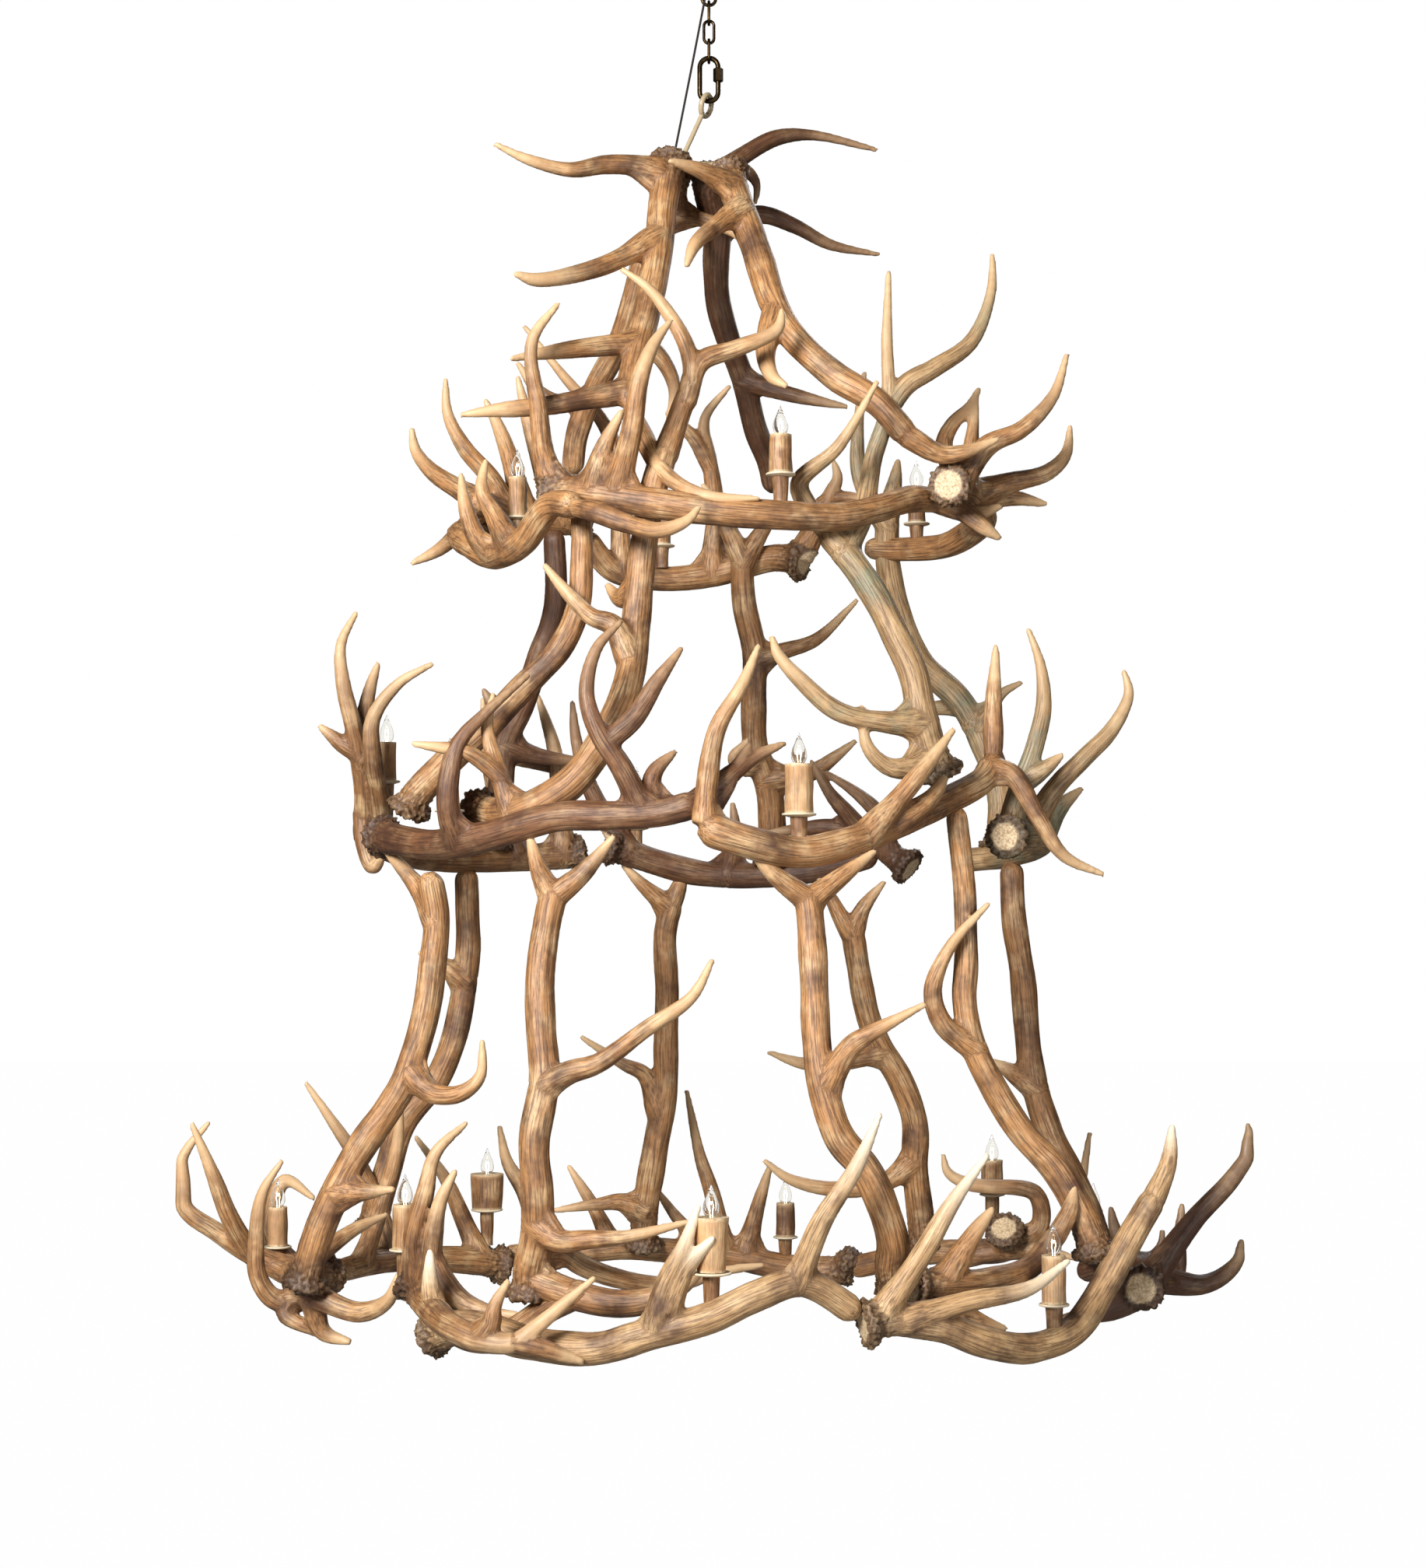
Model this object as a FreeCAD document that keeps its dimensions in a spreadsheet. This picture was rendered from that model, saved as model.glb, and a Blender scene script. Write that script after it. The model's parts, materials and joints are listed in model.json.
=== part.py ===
"""Antler chandelier: shed antlers in an apex and three rings, hung from a ceiling canopy by a short chain.

Millimetres. +Z is up, the origin is the centre of the ceiling face, and -Y is the front.
Antlers are drawn on a front elevation: x from the axis, z from the eye line and y the depth.
"""
import FreeCAD, Part
import math
import os

from FreeCAD import Vector

os.makedirs("parts", exist_ok=True)
doc = FreeCAD.newDocument("antler_chandelier")

# ---------------------------------------------------------------- driving dimensions
SIZES = {
    # Ceiling fixture
    "canopy_diameter": 130,
    "canopy_height": 30,
    "canopy_wall": 1.5,
    "canopy_neck_diameter": 24,
    "bracket_length": 96,
    "bracket_width": 22,
    "bracket_thickness": 3,
    "bracket_screw_spacing": 70,
    "bracket_screw_hole": 5,
    "boss_height": 12,
    "boss_wall": 3,
    "nipple_diameter": 9.9,
    "collar_diameter": 26,
    "collar_height": 7,
    "loop_neck": 4,
    "loop_wire": 6,
    "loop_inner_width": 18,
    # Chain, quick link and eye bolt
    "chain_wire": 5.5,
    "chain_inner_width": 12,
    "chain_inner_length": 34,
    "quick_wire": 9,
    "quick_inner_width": 23,
    "quick_inner_length": 67,
    "quick_nut_across": 16,
    "quick_nut_length": 24,
    "quick_nut_lift": 8,
    "quick_mouth": 5,
    "eye_wire": 10,
    "eye_inner": 26,
    "eye_lean": 25,
    "eye_heading": 205,
    "eye_turn": 25,
    "eye_gap": 0.8,
    "shank_length": 155,
    "cord_diameter": 4,
    "bushing_diameter": 9,
    "bushing_length": 12,
    "hang_gap": 0.3,
    "seat_gap": 0.45,
    "thread_gap": 0.05,
    # Antlers
    "beam_diameter": 44,
    "beam_end_diameter": 29,
    "tine_root_diameter": 25,
    "burr_diameter": 64,
    "burr_thickness": 22,
    "top_ring_radius": 370,
    "middle_ring_radius": 490,
    "bottom_ring_radius": 640,
    "top_ring_drop": 770,
    "middle_ring_drop": 1295,
    "bottom_ring_drop": 2030,
    # Lights
    "stub_diameter": 28,
    "dish_diameter": 48,
    "dish_thickness": 6,
    "sleeve_bore": 20,
    "socket_diameter": 18,
    "socket_inset": 4,
    "bulb_diameter": 25,
    "bulb_length": 52,
    "bulb_base_diameter": 11.5,
    "bulb_base_length": 20,
}

sheet = doc.addObject("Spreadsheet::Sheet", "Sizes")
for row, (alias, value) in enumerate(SIZES.items(), start=1):
    sheet.set("A%d" % row, alias)
    sheet.set("B%d" % row, str(value))
    sheet.setAlias("B%d" % row, alias)
doc.recompute()


def size(alias):
    """Number that a cell of the sheet holds."""
    return float(sheet.get(alias))


# ---------------------------------------------------------------- small helpers
def primitive(kind, name, **expressions):
    """A primitive solid whose sizes follow the sheet."""
    made = doc.addObject("Part::" + kind, name)
    for property_name, text in expressions.items():
        made.setExpression(property_name, text)
    return made


def place_at(thing, x_text, y_text, z_text):
    """Ties an object's place to the sheet."""
    thing.setExpression("Placement.Base.x", x_text)
    thing.setExpression("Placement.Base.y", y_text)
    thing.setExpression("Placement.Base.z", z_text)
    return thing


def boolean(kind, name, base, tool):
    """Fuse or Cut of two objects."""
    made = doc.addObject("Part::" + kind, name)
    made.Base = base
    made.Tool = tool
    return made


def shaped(name, shape):
    """Object for a form that no primitive gives."""
    thing = doc.addObject("Part::Feature", name)
    thing.Shape = shape
    return thing


NODES = {}


def node(name, thing):
    """Marks an object as the sub-part of that name."""
    thing.Label = name
    NODES[name] = thing
    return thing


# ---------------------------------------------------------------- limbs: tapering many-sided skins
BEAM_SIDES = 6
TINE_SIDES = 5
BURR_SIDES = 8
WIRE_SIDES = 8
SAMPLE_STEP = 8


class Limb:
    """A tapering branch: places along its middle, a radius at each and its number of sides."""

    def __init__(self, points, radii, sides):
        self.points = points
        self.radii = [radius * same_area(sides) for radius in radii]
        self.sides = sides
        self.balls = balls_along(points, self.radii)
        reach = max(self.radii)
        self.low = [min(p[i] for p in points) - reach for i in range(3)]
        self.high = [max(p[i] for p in points) + reach for i in range(3)]

    def solid(self, extra=0):
        """Skin of the limb, thicker by extra all round and at its ends."""
        points = list(self.points)
        if extra:
            points[0] = points[0] - direction(points, 0) * extra
            points[-1] = points[-1] + direction(points, len(points) - 1) * extra
        return skin(points, [r + extra for r in self.radii], self.sides)


def same_area(sides):
    """A polygon's corner radius over the radius of a circle with the same area."""
    return math.sqrt(2 * math.pi / (sides * math.sin(2 * math.pi / sides)))


def balls_along(points, radii):
    """Balls along a limb, close together, for finding where two limbs meet."""
    balls = []
    for i in range(len(points) - 1):
        run = points[i + 1] - points[i]
        count = max(1, int(run.Length / SAMPLE_STEP))
        for k in range(count):
            part = k / count
            balls.append((points[i] + run * part, radii[i] + (radii[i + 1] - radii[i]) * part))
    balls.append((points[-1], radii[-1]))
    return balls


def direction(points, i):
    """Unit vector along the limb at its point i."""
    after = points[min(i + 1, len(points) - 1)]
    before = points[max(i - 1, 0)]
    return (after - before).normalize()


def corners_about(centre, radius, along, start, sides):
    """Corners of a regular polygon about the limb's middle."""
    across = along.cross(start)
    corners = []
    for k in range(sides):
        turn = 2 * math.pi * k / sides
        corners.append(centre + start * (radius * math.cos(turn)) + across * (radius * math.sin(turn)))
    return corners


def flat(corners):
    """Flat face through its corners."""
    return Part.Face(Part.makePolygon(corners + corners[:1]))


def skin(points, radii, sides, closed=False):
    """Solid through polygons set square to the path, turned as little as possible from one to the next."""
    rings = []
    start = None
    count = len(points)
    for i in range(count):
        if closed:
            along = (points[(i + 1) % count] - points[i - 1]).normalize()
        else:
            along = direction(points, i)
        if start is None:
            guide = Vector(0.2, 1, 0.1) if abs(along.y) < 0.8 else Vector(1, 0.2, 0.1)
            start = along.cross(guide)
        start = (start - along * start.dot(along)).normalize()
        rings.append(corners_about(points[i], radii[i], along, start, sides))
    spans = list(zip(rings, rings[1:]))
    if closed:
        spans.append((rings[-1], rings[0]))
    pointed = radii[-1] == 0
    faces = []
    for low, high in spans:
        for k in range(sides):
            after = (k + 1) % sides
            faces.append(flat([low[k], low[after], high[after]]))
            if not pointed or high is not rings[-1]:
                faces.append(flat([low[k], high[after], high[k]]))
    if not closed:
        faces.append(flat(rings[0]))
    if not closed and not pointed:
        faces.append(flat(rings[-1]))
    shell = Part.makeShell(faces)
    solid = Part.makeSolid(shell)
    if solid.Volume < 0:
        solid.reverse()
    return solid


# ---------------------------------------------------------------- levels of the chain
loop_wire = size("loop_wire") / 2
chain_wire = size("chain_wire") / 2
quick_wire = size("quick_wire") / 2
eye_wire = size("eye_wire") / 2
hang_gap = size("hang_gap")
seat_gap = size("seat_gap")

loop_middle = loop_wire + size("loop_inner_width") / 2
loop_top = -size("canopy_height") - size("collar_height") - size("loop_neck")
loop_centre = loop_top - loop_wire - loop_middle
loop_pivot = loop_centre - loop_middle


def next_pivot(pivot, parent_wire, inner_length, wire):
    """Middle of a link's bottom wire, when its top bow hangs on the wire at pivot."""
    return pivot + parent_wire + hang_gap - inner_length - wire


pivots = [loop_pivot]
for parent_wire in (loop_wire, chain_wire, chain_wire):
    pivots.append(next_pivot(pivots[-1], parent_wire, size("chain_inner_length"), chain_wire))
quick_pivot = next_pivot(pivots[-1], chain_wire, size("quick_inner_length"), quick_wire)

BOW_SPANS = 6


def link_path(pivot, parent_wire, inner_width, inner_length, wire, turned):
    """Middle of a link's wire: two half rings joined by straight sides, in XZ, or in YZ where it is turned."""
    inner_top = pivot + parent_wire + hang_gap
    bow = inner_width / 2 + wire
    high = inner_top - inner_width / 2
    low = inner_top - inner_length + inner_width / 2
    places = []
    for centre, first in ((high, 0), (low, math.pi)):
        for k in range(BOW_SPANS + 1):
            turn = first + math.pi * k / BOW_SPANS
            across = bow * math.cos(turn)
            rise = centre + bow * math.sin(turn)
            places.append(Vector(0, across, rise) if turned else Vector(across, 0, rise))
    return places


def closed_wire(path, wire):
    """Endless round wire along a path."""
    return skin(path, [wire] * len(path), WIRE_SIDES, closed=True)


# ---------------------------------------------------------------- ceiling fixture
def ceiling_bracket():
    """Steel crossbar against the ceiling, with a threaded boss under it for the nipple."""
    bar = primitive("Box", "BracketBar", Length="Sizes.bracket_length", Width="Sizes.bracket_width",
                    Height="Sizes.bracket_thickness")
    place_at(bar, "-Sizes.bracket_length / 2", "-Sizes.bracket_width / 2", "-Sizes.bracket_thickness")
    boss = primitive("Cylinder", "BracketBoss", Height="Sizes.boss_height",
                     Radius="Sizes.nipple_diameter / 2 + Sizes.thread_gap + Sizes.boss_wall")
    place_at(boss, "0", "0", "-Sizes.bracket_thickness - Sizes.boss_height")
    whole = boolean("Fuse", "BracketWhole", bar, boss)
    bore = primitive("Cylinder", "BracketBore", Height="Sizes.boss_height",
                     Radius="Sizes.nipple_diameter / 2 + Sizes.thread_gap")
    place_at(bore, "0", "0", "-Sizes.bracket_thickness - Sizes.boss_height")
    made = boolean("Cut", "BracketBored", whole, bore)
    for side, sign in (("Left", "-"), ("Right", "")):
        hole = primitive("Cylinder", "BracketHole" + side, Radius="Sizes.bracket_screw_hole / 2",
                         Height="Sizes.bracket_thickness * 3")
        place_at(hole, sign + "Sizes.bracket_screw_spacing / 2", "0", "-Sizes.bracket_thickness * 2")
        made = boolean("Cut", "BracketCut" + side, made, hole)
    return node("ceiling_bracket", made)


def canopy():
    """Spun brass dish over the bracket, open to the ceiling, holed for the nipple and the cord's bushing."""
    outside = primitive("Cone", "CanopyOutside", Radius1="Sizes.canopy_neck_diameter / 2",
                        Radius2="Sizes.canopy_diameter / 2", Height="Sizes.canopy_height")
    place_at(outside, "0", "0", "-Sizes.canopy_height")
    inside = primitive("Cone", "CanopyInside",
                       Radius1="Sizes.canopy_neck_diameter / 2 - Sizes.canopy_wall",
                       Radius2="Sizes.canopy_diameter / 2 - Sizes.canopy_wall",
                       Height="Sizes.canopy_height - Sizes.canopy_wall")
    place_at(inside, "0", "0", "-Sizes.canopy_height + Sizes.canopy_wall")
    shell = boolean("Cut", "CanopyShell", outside, inside)
    hole = primitive("Cylinder", "CanopyNippleHole", Height="Sizes.canopy_height",
                     Radius="Sizes.nipple_diameter / 2 + Sizes.thread_gap")
    place_at(hole, "0", "0", "-Sizes.canopy_height * 1.5")
    holed = boolean("Cut", "CanopyHoled", shell, hole)
    passage = shaped("CanopyCordHole", rod_along(*bushing_ends(), size("bushing_diameter") / 2 + BUSHING_PLAY))
    return node("canopy", boolean("Cut", "CanopyWithCordHole", holed, passage))


def screw_collar():
    """Knurled ring on the nipple that holds the canopy up."""
    ring = primitive("Cylinder", "CollarRing", Radius="Sizes.collar_diameter / 2", Height="Sizes.collar_height")
    place_at(ring, "0", "0", "-Sizes.canopy_height - Sizes.collar_height")
    bore = primitive("Cylinder", "CollarBore", Height="Sizes.collar_height",
                     Radius="Sizes.nipple_diameter / 2 + Sizes.thread_gap")
    place_at(bore, "0", "0", "-Sizes.canopy_height - Sizes.collar_height")
    return node("screw_collar", boolean("Cut", "CollarBored", ring, bore))


NIPPLE_TOP = 5
LOOP_SPANS = 12


def hanging_loop():
    """Brass loop that carries the chain, in one with the threaded nipple above it."""
    nipple = primitive("Cylinder", "LoopNipple", Radius="Sizes.nipple_diameter / 2")
    nipple.Height = -NIPPLE_TOP - (loop_centre + loop_middle)
    nipple.Placement.Base = Vector(0, 0, loop_centre + loop_middle)
    path = []
    for k in range(LOOP_SPANS):
        turn = 2 * math.pi * k / LOOP_SPANS
        path.append(Vector(loop_middle * math.cos(turn), 0, loop_centre + loop_middle * math.sin(turn)))
    loop = shaped("LoopRing", closed_wire(path, loop_wire))
    return node("hanging_loop", boolean("Fuse", "LoopWhole", nipple, loop))


# ---------------------------------------------------------------- supply cord
BUSHING_PLAY = 0.05
CORD_TOP = Vector(2, -19, -14)
CORD_FOOT = Vector(-58, -22, -328.4)
# Level of the quick link's bottom wire for which the cord's foot is given.
DRAWN_PIVOT = -237.3
lowered = quick_pivot - DRAWN_PIVOT


def cord_ends():
    """The taut cord's two ends: inside the canopy, and at the front left burr, which hangs from the chain."""
    return CORD_TOP, CORD_FOOT + Vector(0, 0, lowered)


def bushing_ends():
    """Ends of the bushing, along the cord and centred on the canopy's wall."""
    high, low = cord_ends()
    along = (low - high).normalize()
    reach = math.hypot(high.x, high.y)
    neck = size("canopy_neck_diameter") / 2
    flare = size("canopy_diameter") / 2 - neck
    wall_height = -size("canopy_height") * (1 - (reach - neck) / flare)
    middle = high + along * ((wall_height - high.z) / along.z)
    half = size("bushing_length") / 2
    return middle - along * half, middle + along * half


def rod_along(first, last, radius):
    """Round rod from one place to another."""
    run = last - first
    return Part.makeCylinder(radius, run.Length, first, run)


def cord_bushing():
    """Small brass bushing that leads the cord through the canopy."""
    first, last = bushing_ends()
    outside = rod_along(first, last, size("bushing_diameter") / 2)
    bore = rod_along(first, last, size("cord_diameter") / 2 + BUSHING_PLAY)
    return node("cord_bushing", shaped("cord_bushing", outside.cut(bore)))


# ---------------------------------------------------------------- chain, quick link and eye bolt
def chain_links():
    """Three equal links, each turned a quarter from the one above."""
    parents = (loop_wire, chain_wire, chain_wire)
    for number, (pivot, parent_wire) in enumerate(zip(pivots, parents), start=1):
        path = link_path(pivot, parent_wire, size("chain_inner_width"), size("chain_inner_length"),
                         chain_wire, turned=number % 2 == 1)
        name = "chain_link_%d" % number
        node(name, shaped(name, closed_wire(path, chain_wire)))


def quick_link():
    """Link with a mouth in one side, and the hexagonal nut that is screwed over it."""
    path = link_path(pivots[-1], chain_wire, size("quick_inner_width"), size("quick_inner_length"),
                     quick_wire, turned=False)
    side = size("quick_inner_width") / 2 + quick_wire
    nut_centre = quick_pivot + size("quick_inner_length") / 2 + quick_wire + size("quick_nut_lift")
    mouth = rod_along(Vector(side, 0, nut_centre), Vector(side, 0, nut_centre + size("quick_mouth")),
                      quick_wire * 2)
    link = closed_wire(path, quick_wire).cut(mouth)
    half = size("quick_nut_length") / 2
    low = Vector(side, 0, nut_centre - half)
    high = Vector(side, 0, nut_centre + half)
    nut = skin([low, high], [size("quick_nut_across") / math.sqrt(3)] * 2, 6)
    bored = nut.cut(rod_along(low, high, quick_wire + size("thread_gap")))
    node("quick_link", shaped("quick_link", link))
    node("quick_link_nut", shaped("quick_link_nut", bored))


EYE_SPANS = 14


def eye_frame():
    """Centre of the eye, the shank's direction, and the directions up and across in the eye's plane."""
    lean = math.radians(size("eye_lean"))
    heading = math.radians(size("eye_heading"))
    down = Vector(math.sin(lean) * math.cos(heading), math.sin(lean) * math.sin(heading), -math.cos(lean))
    level = Vector(0, 1, 0)
    level = (level - down * level.dot(down)).normalize()
    other = down.cross(level)
    turn = math.radians(size("eye_turn"))
    across = level * math.cos(turn) + other * math.sin(turn)
    normal = down.cross(across)
    rise = Vector(0, 0, 1)
    rise = (rise - normal * rise.dot(normal)).normalize()
    hung = Vector(0, 0, quick_pivot + quick_wire + size("eye_gap") + eye_wire)
    centre = hung - rise * (size("eye_inner") / 2 + eye_wire)
    return centre, down, rise, normal.cross(rise)


def eye_bolt():
    """Screw eye: a ring hung in the quick link, on a shank driven into the front left antler."""
    centre, _, rise, across = eye_frame()
    middle = size("eye_inner") / 2 + eye_wire
    path = []
    for k in range(EYE_SPANS):
        turn = 2 * math.pi * k / EYE_SPANS
        path.append(centre + rise * (middle * math.cos(turn)) + across * (middle * math.sin(turn)))
    eye = closed_wire(path, eye_wire)
    return node("eye_bolt", shaped("eye_bolt", eye.fuse(shank(eye_wire - SHANK_NECKING))))


SHANK_NECKING = 0.8


def shank(radius):
    """The screw eye's shank, from the ring into the antler."""
    centre, down, _, _ = eye_frame()
    middle = size("eye_inner") / 2 + eye_wire
    return rod_along(centre + down * middle, centre + down * size("shank_length"), radius)


# ---------------------------------------------------------------- laying the antlers out
VIEW_DISTANCE = 4600
EYE_LINE_DROP = 1443
# Sets every drawn depth back, so that the antlers' weight hangs under the loop.
BALANCE = 28
APEX_DROP = 100
DRAWN_DROPS = (APEX_DROP, 770, 1295, 2030)
DRAWN_RADII = (1, 370, 490, 640)
SET_DROPS = (APEX_DROP, size("top_ring_drop"), size("middle_ring_drop"), size("bottom_ring_drop"))
SET_RADII = (1, size("top_ring_radius"), size("middle_ring_radius"), size("bottom_ring_radius"))


def between(drop, marks, values):
    """Value at a drop, straight between the marks and steady past the ends."""
    if drop <= marks[0]:
        return values[0]
    for i in range(len(marks) - 1):
        if drop <= marks[i + 1]:
            part = (drop - marks[i]) / (marks[i + 1] - marks[i])
            return values[i] + (values[i + 1] - values[i]) * part
    return values[-1]


def laid(x, z, y):
    """Real place of a drawn point: spread for its depth, then moved with the rings it lies between."""
    y += BALANCE
    spread = 1 + y / VIEW_DISTANCE
    drop = EYE_LINE_DROP - z * spread
    widths = [now / then for now, then in zip(SET_RADII, DRAWN_RADII)]
    widen = between(drop, DRAWN_DROPS, widths)
    moves = [now - then for now, then in zip(SET_DROPS, DRAWN_DROPS)]
    drop += between(drop, DRAWN_DROPS, moves)
    return Vector(x * spread * widen, y * widen, quick_pivot - drop)


def lay(route):
    """Real places of a drawn route."""
    return [laid(*point) for point in route]


def taper(count, root, end):
    """Radii that shrink evenly from a root to an end."""
    return [root + (end - root) * i / (count - 1) for i in range(count)]


def tine_radii(count, root):
    """Radii of a tine, which stays stout and then comes to a point."""
    return [root * (1 - (i / (count - 1)) ** TINE_FULLNESS) for i in range(count)]


ANTLERS = {}
TINE_FULLNESS = 1.6
# Step along the beam and radius there, as shares of the burr's thickness and radius.
BURR_OUTLINE = ((-0.15, 0.75), (0.2, 1.0), (1.0, 0.62))


def antler(name, beam, tines=(), girth=1.0, burr=True, end=1.0):
    """One shed antler: its beam from the burr to the crown, and its tines, each from a root on the beam."""
    places = lay(beam)
    root = girth * size("beam_diameter") / 2
    last = girth * end * size("beam_end_diameter") / 2
    limbs = [Limb(places, taper(len(places), root, last), BEAM_SIDES)]
    if burr:
        limbs.append(burr_limb(places[0], direction(places, 0), girth))
    for tine in tines:
        route = lay(tine)
        thickness = girth * size("tine_root_diameter") / 2
        limbs.append(Limb(route, tine_radii(len(route), thickness), TINE_SIDES))
    ANTLERS[name] = limbs


def burr_limb(place, along, girth):
    """The burr: a rough collar that flares round the beam's cut end."""
    radius = girth * size("burr_diameter") / 2
    thick = girth * size("burr_thickness")
    points = [place + along * (thick * step) for step, _ in BURR_OUTLINE]
    return Limb(points, [radius * share for _, share in BURR_OUTLINE], BURR_SIDES)


def apex_antlers():
    """Four antlers, burrs up, whose crowns reach down to the top ring."""
    antler("antler_apex_front_left",
           [(-64, 1343, -32), (-79, 1267, -62), (-87, 1181, -105), (-101, 1100, -150), (-121, 1015, -195),
            (-133, 965, -225), (-142, 910, -262)],
           [[(-84, 1300, -52), (-160, 1316, -80), (-233, 1319, -110), (-310, 1340, -135), (-372, 1369, -150)],
            [(-92, 1200, -100), (-187, 1152, -170), (-296, 1129, -225), (-336, 1140, -250)],
            [(-118, 1020, -190), (-241, 1007, -255), (-343, 991, -310)],
            [(-141, 935, -245), (-281, 909, -290), (-360, 902, -310), (-429, 893, -320)],
            [(-140, 905, -262), (-115, 860, -305), (-75, 790, -352), (0, 752, -398), (89, 748, -404)]])
    antler("antler_apex_front_right",
           [(33, 1319, -8), (52, 1262, -58), (85, 1172, -118), (113, 1085, -170), (147, 1028, -205),
            (219, 961, -240), (291, 915, -258), (347, 850, -262)],
           [[(43, 1290, -34), (-9, 1319, -95), (-69, 1339, -150)],
            [(56, 1250, -78), (13, 1224, -130), (-24, 1191, -180), (-39, 1152, -210)],
            [(116, 1075, -175), (98, 1000, -232), (110, 960, -262), (135, 943, -285)],
            [(340, 858, -262), (401, 825, -250), (450, 832, -245), (500, 852, -240)]])
    antler("antler_apex_rear_right",
           [(-8, 1327, 27), (0, 1270, 58), (14, 1219, 90), (12, 1160, 115), (15, 1095, 150), (30, 1035, 180),
            (60, 950, 225), (80, 868, 270), (100, 815, 300), (113, 760, 330)],
           [[(4, 1305, 42), (61, 1348, 78), (119, 1379, 110), (180, 1383, 135), (292, 1357, 155)],
            [(14, 1222, 88), (91, 1243, 112), (147, 1224, 130), (209, 1191, 150), (295, 1173, 175)],
            [(58, 955, 222), (113, 936, 205), (176, 920, 192), (240, 907, 180)]], girth=0.95)
    antler("antler_apex_rear_left",
           [(-60, 1322, 16), (-66, 1255, 56), (-85, 1215, 84), (-109, 1172, 112), (-133, 1085, 150),
            (-157, 1015, 190), (-200, 933, 240), (-228, 860, 275), (-236, 790, 300)],
           [[(-150, 1035, 180), (-90, 1000, 200), (-60, 940, 215), (-72, 880, 230)],
            [(-205, 925, 243), (-262, 915, 262), (-300, 940, 275), (-331, 985, 282)]], girth=0.95)


def top_ring():
    """Antlers laid round the top ring, their tines standing up."""
    antler("antler_top_front",
           [(-273, 758, -293), (-235, 761, -318), (-187, 755, -345), (-101, 741, -372), (5, 728, -388),
            (115, 720, -378), (219, 716, -335), (283, 728, -290), (347, 747, -215), (393, 745, -150)],
           [[(-268, 768, -298), (-285, 830, -312), (-293, 903, -330), (-305, 1021, -340), (-259, 1089, -330)],
            [(-160, 752, -352), (-132, 868, -395), (-119, 953, -410), (-97, 1013, -402), (-64, 1060, -382)],
            [(-200, 757, -338), (-179, 839, -365), (-148, 903, -380)],
            [(385, 745, -160), (452, 722, -160), (505, 735, -150)],
            [(425, 735, -158), (470, 700, -175), (502, 678, -170)]])
    antler("antler_top_right",
           [(413, 772, -236), (437, 765, -160), (462, 735, -60), (468, 705, 60), (410, 668, 165),
            (335, 660, 245), (270, 662, 290)],
           [[(425, 770, -195), (480, 840, -198), (539, 868, -195), (593, 924, -182), (619, 1000, -165)],
            [(450, 752, -115), (517, 775, -110), (580, 792, -90), (615, 825, -70), (623, 875, -60)],
            [(455, 748, -90), (520, 750, -75), (583, 738, -60)],
            [(440, 765, -150), (450, 830, -120), (462, 930, -100)]])
    antler("antler_top_rear",
           [(160, 639, 318), (113, 645, 345), (5, 617, 368), (-89, 609, 362), (-165, 625, 335),
            (-216, 685, 296)],
           [[(-150, 622, 340), (-155, 740, 336), (-165, 839, 325), (-187, 885, 314), (-251, 961, 298),
             (-320, 1049, 280)],
            [(5, 620, 366), (10, 740, 356), (0, 817, 346), (-8, 885, 335), (36, 945, 322)],
            [(2, 800, 348), (-24, 850, 336), (-76, 900, 328)]])
    antler("antler_top_front_left",
           [(-395, 690, 150), (-425, 685, 50), (-412, 672, -70), (-367, 650, -180), (-318, 675, -262),
            (-272, 736, -328), (-225, 736, -388)],
           [[(-365, 652, -182), (-399, 681, -205), (-420, 741, -218), (-427, 792, -212)],
            [(-340, 665, -228), (-369, 720, -256), (-391, 763, -262), (-384, 815, -248)],
            [(-228, 732, -388), (-187, 722, -425), (-144, 706, -438), (-89, 693, -440), (-37, 710, -438),
             (-15, 735, -432)]])
    antler("antler_top_rear_left",
           [(-214, 706, 290), (-290, 712, 238), (-350, 722, 180), (-385, 738, 110), (-398, 742, 30)],
           [[(-392, 742, 70), (-435, 767, 50), (-478, 796, 35), (-505, 831, 20), (-513, 872, 10)],
            [(-345, 722, 184), (-377, 784, 155), (-420, 835, 140), (-450, 893, 130), (-455, 957, 130)],
            [(-318, 718, 212), (-344, 821, 195), (-365, 877, 180), (-387, 921, 175)],
            [(-385, 735, 115), (-420, 700, 85), (-463, 660, 50), (-512, 635, 30)],
            [(-262, 712, 256), (-290, 800, 262), (-315, 895, 262), (-331, 961, 258)]])


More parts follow.
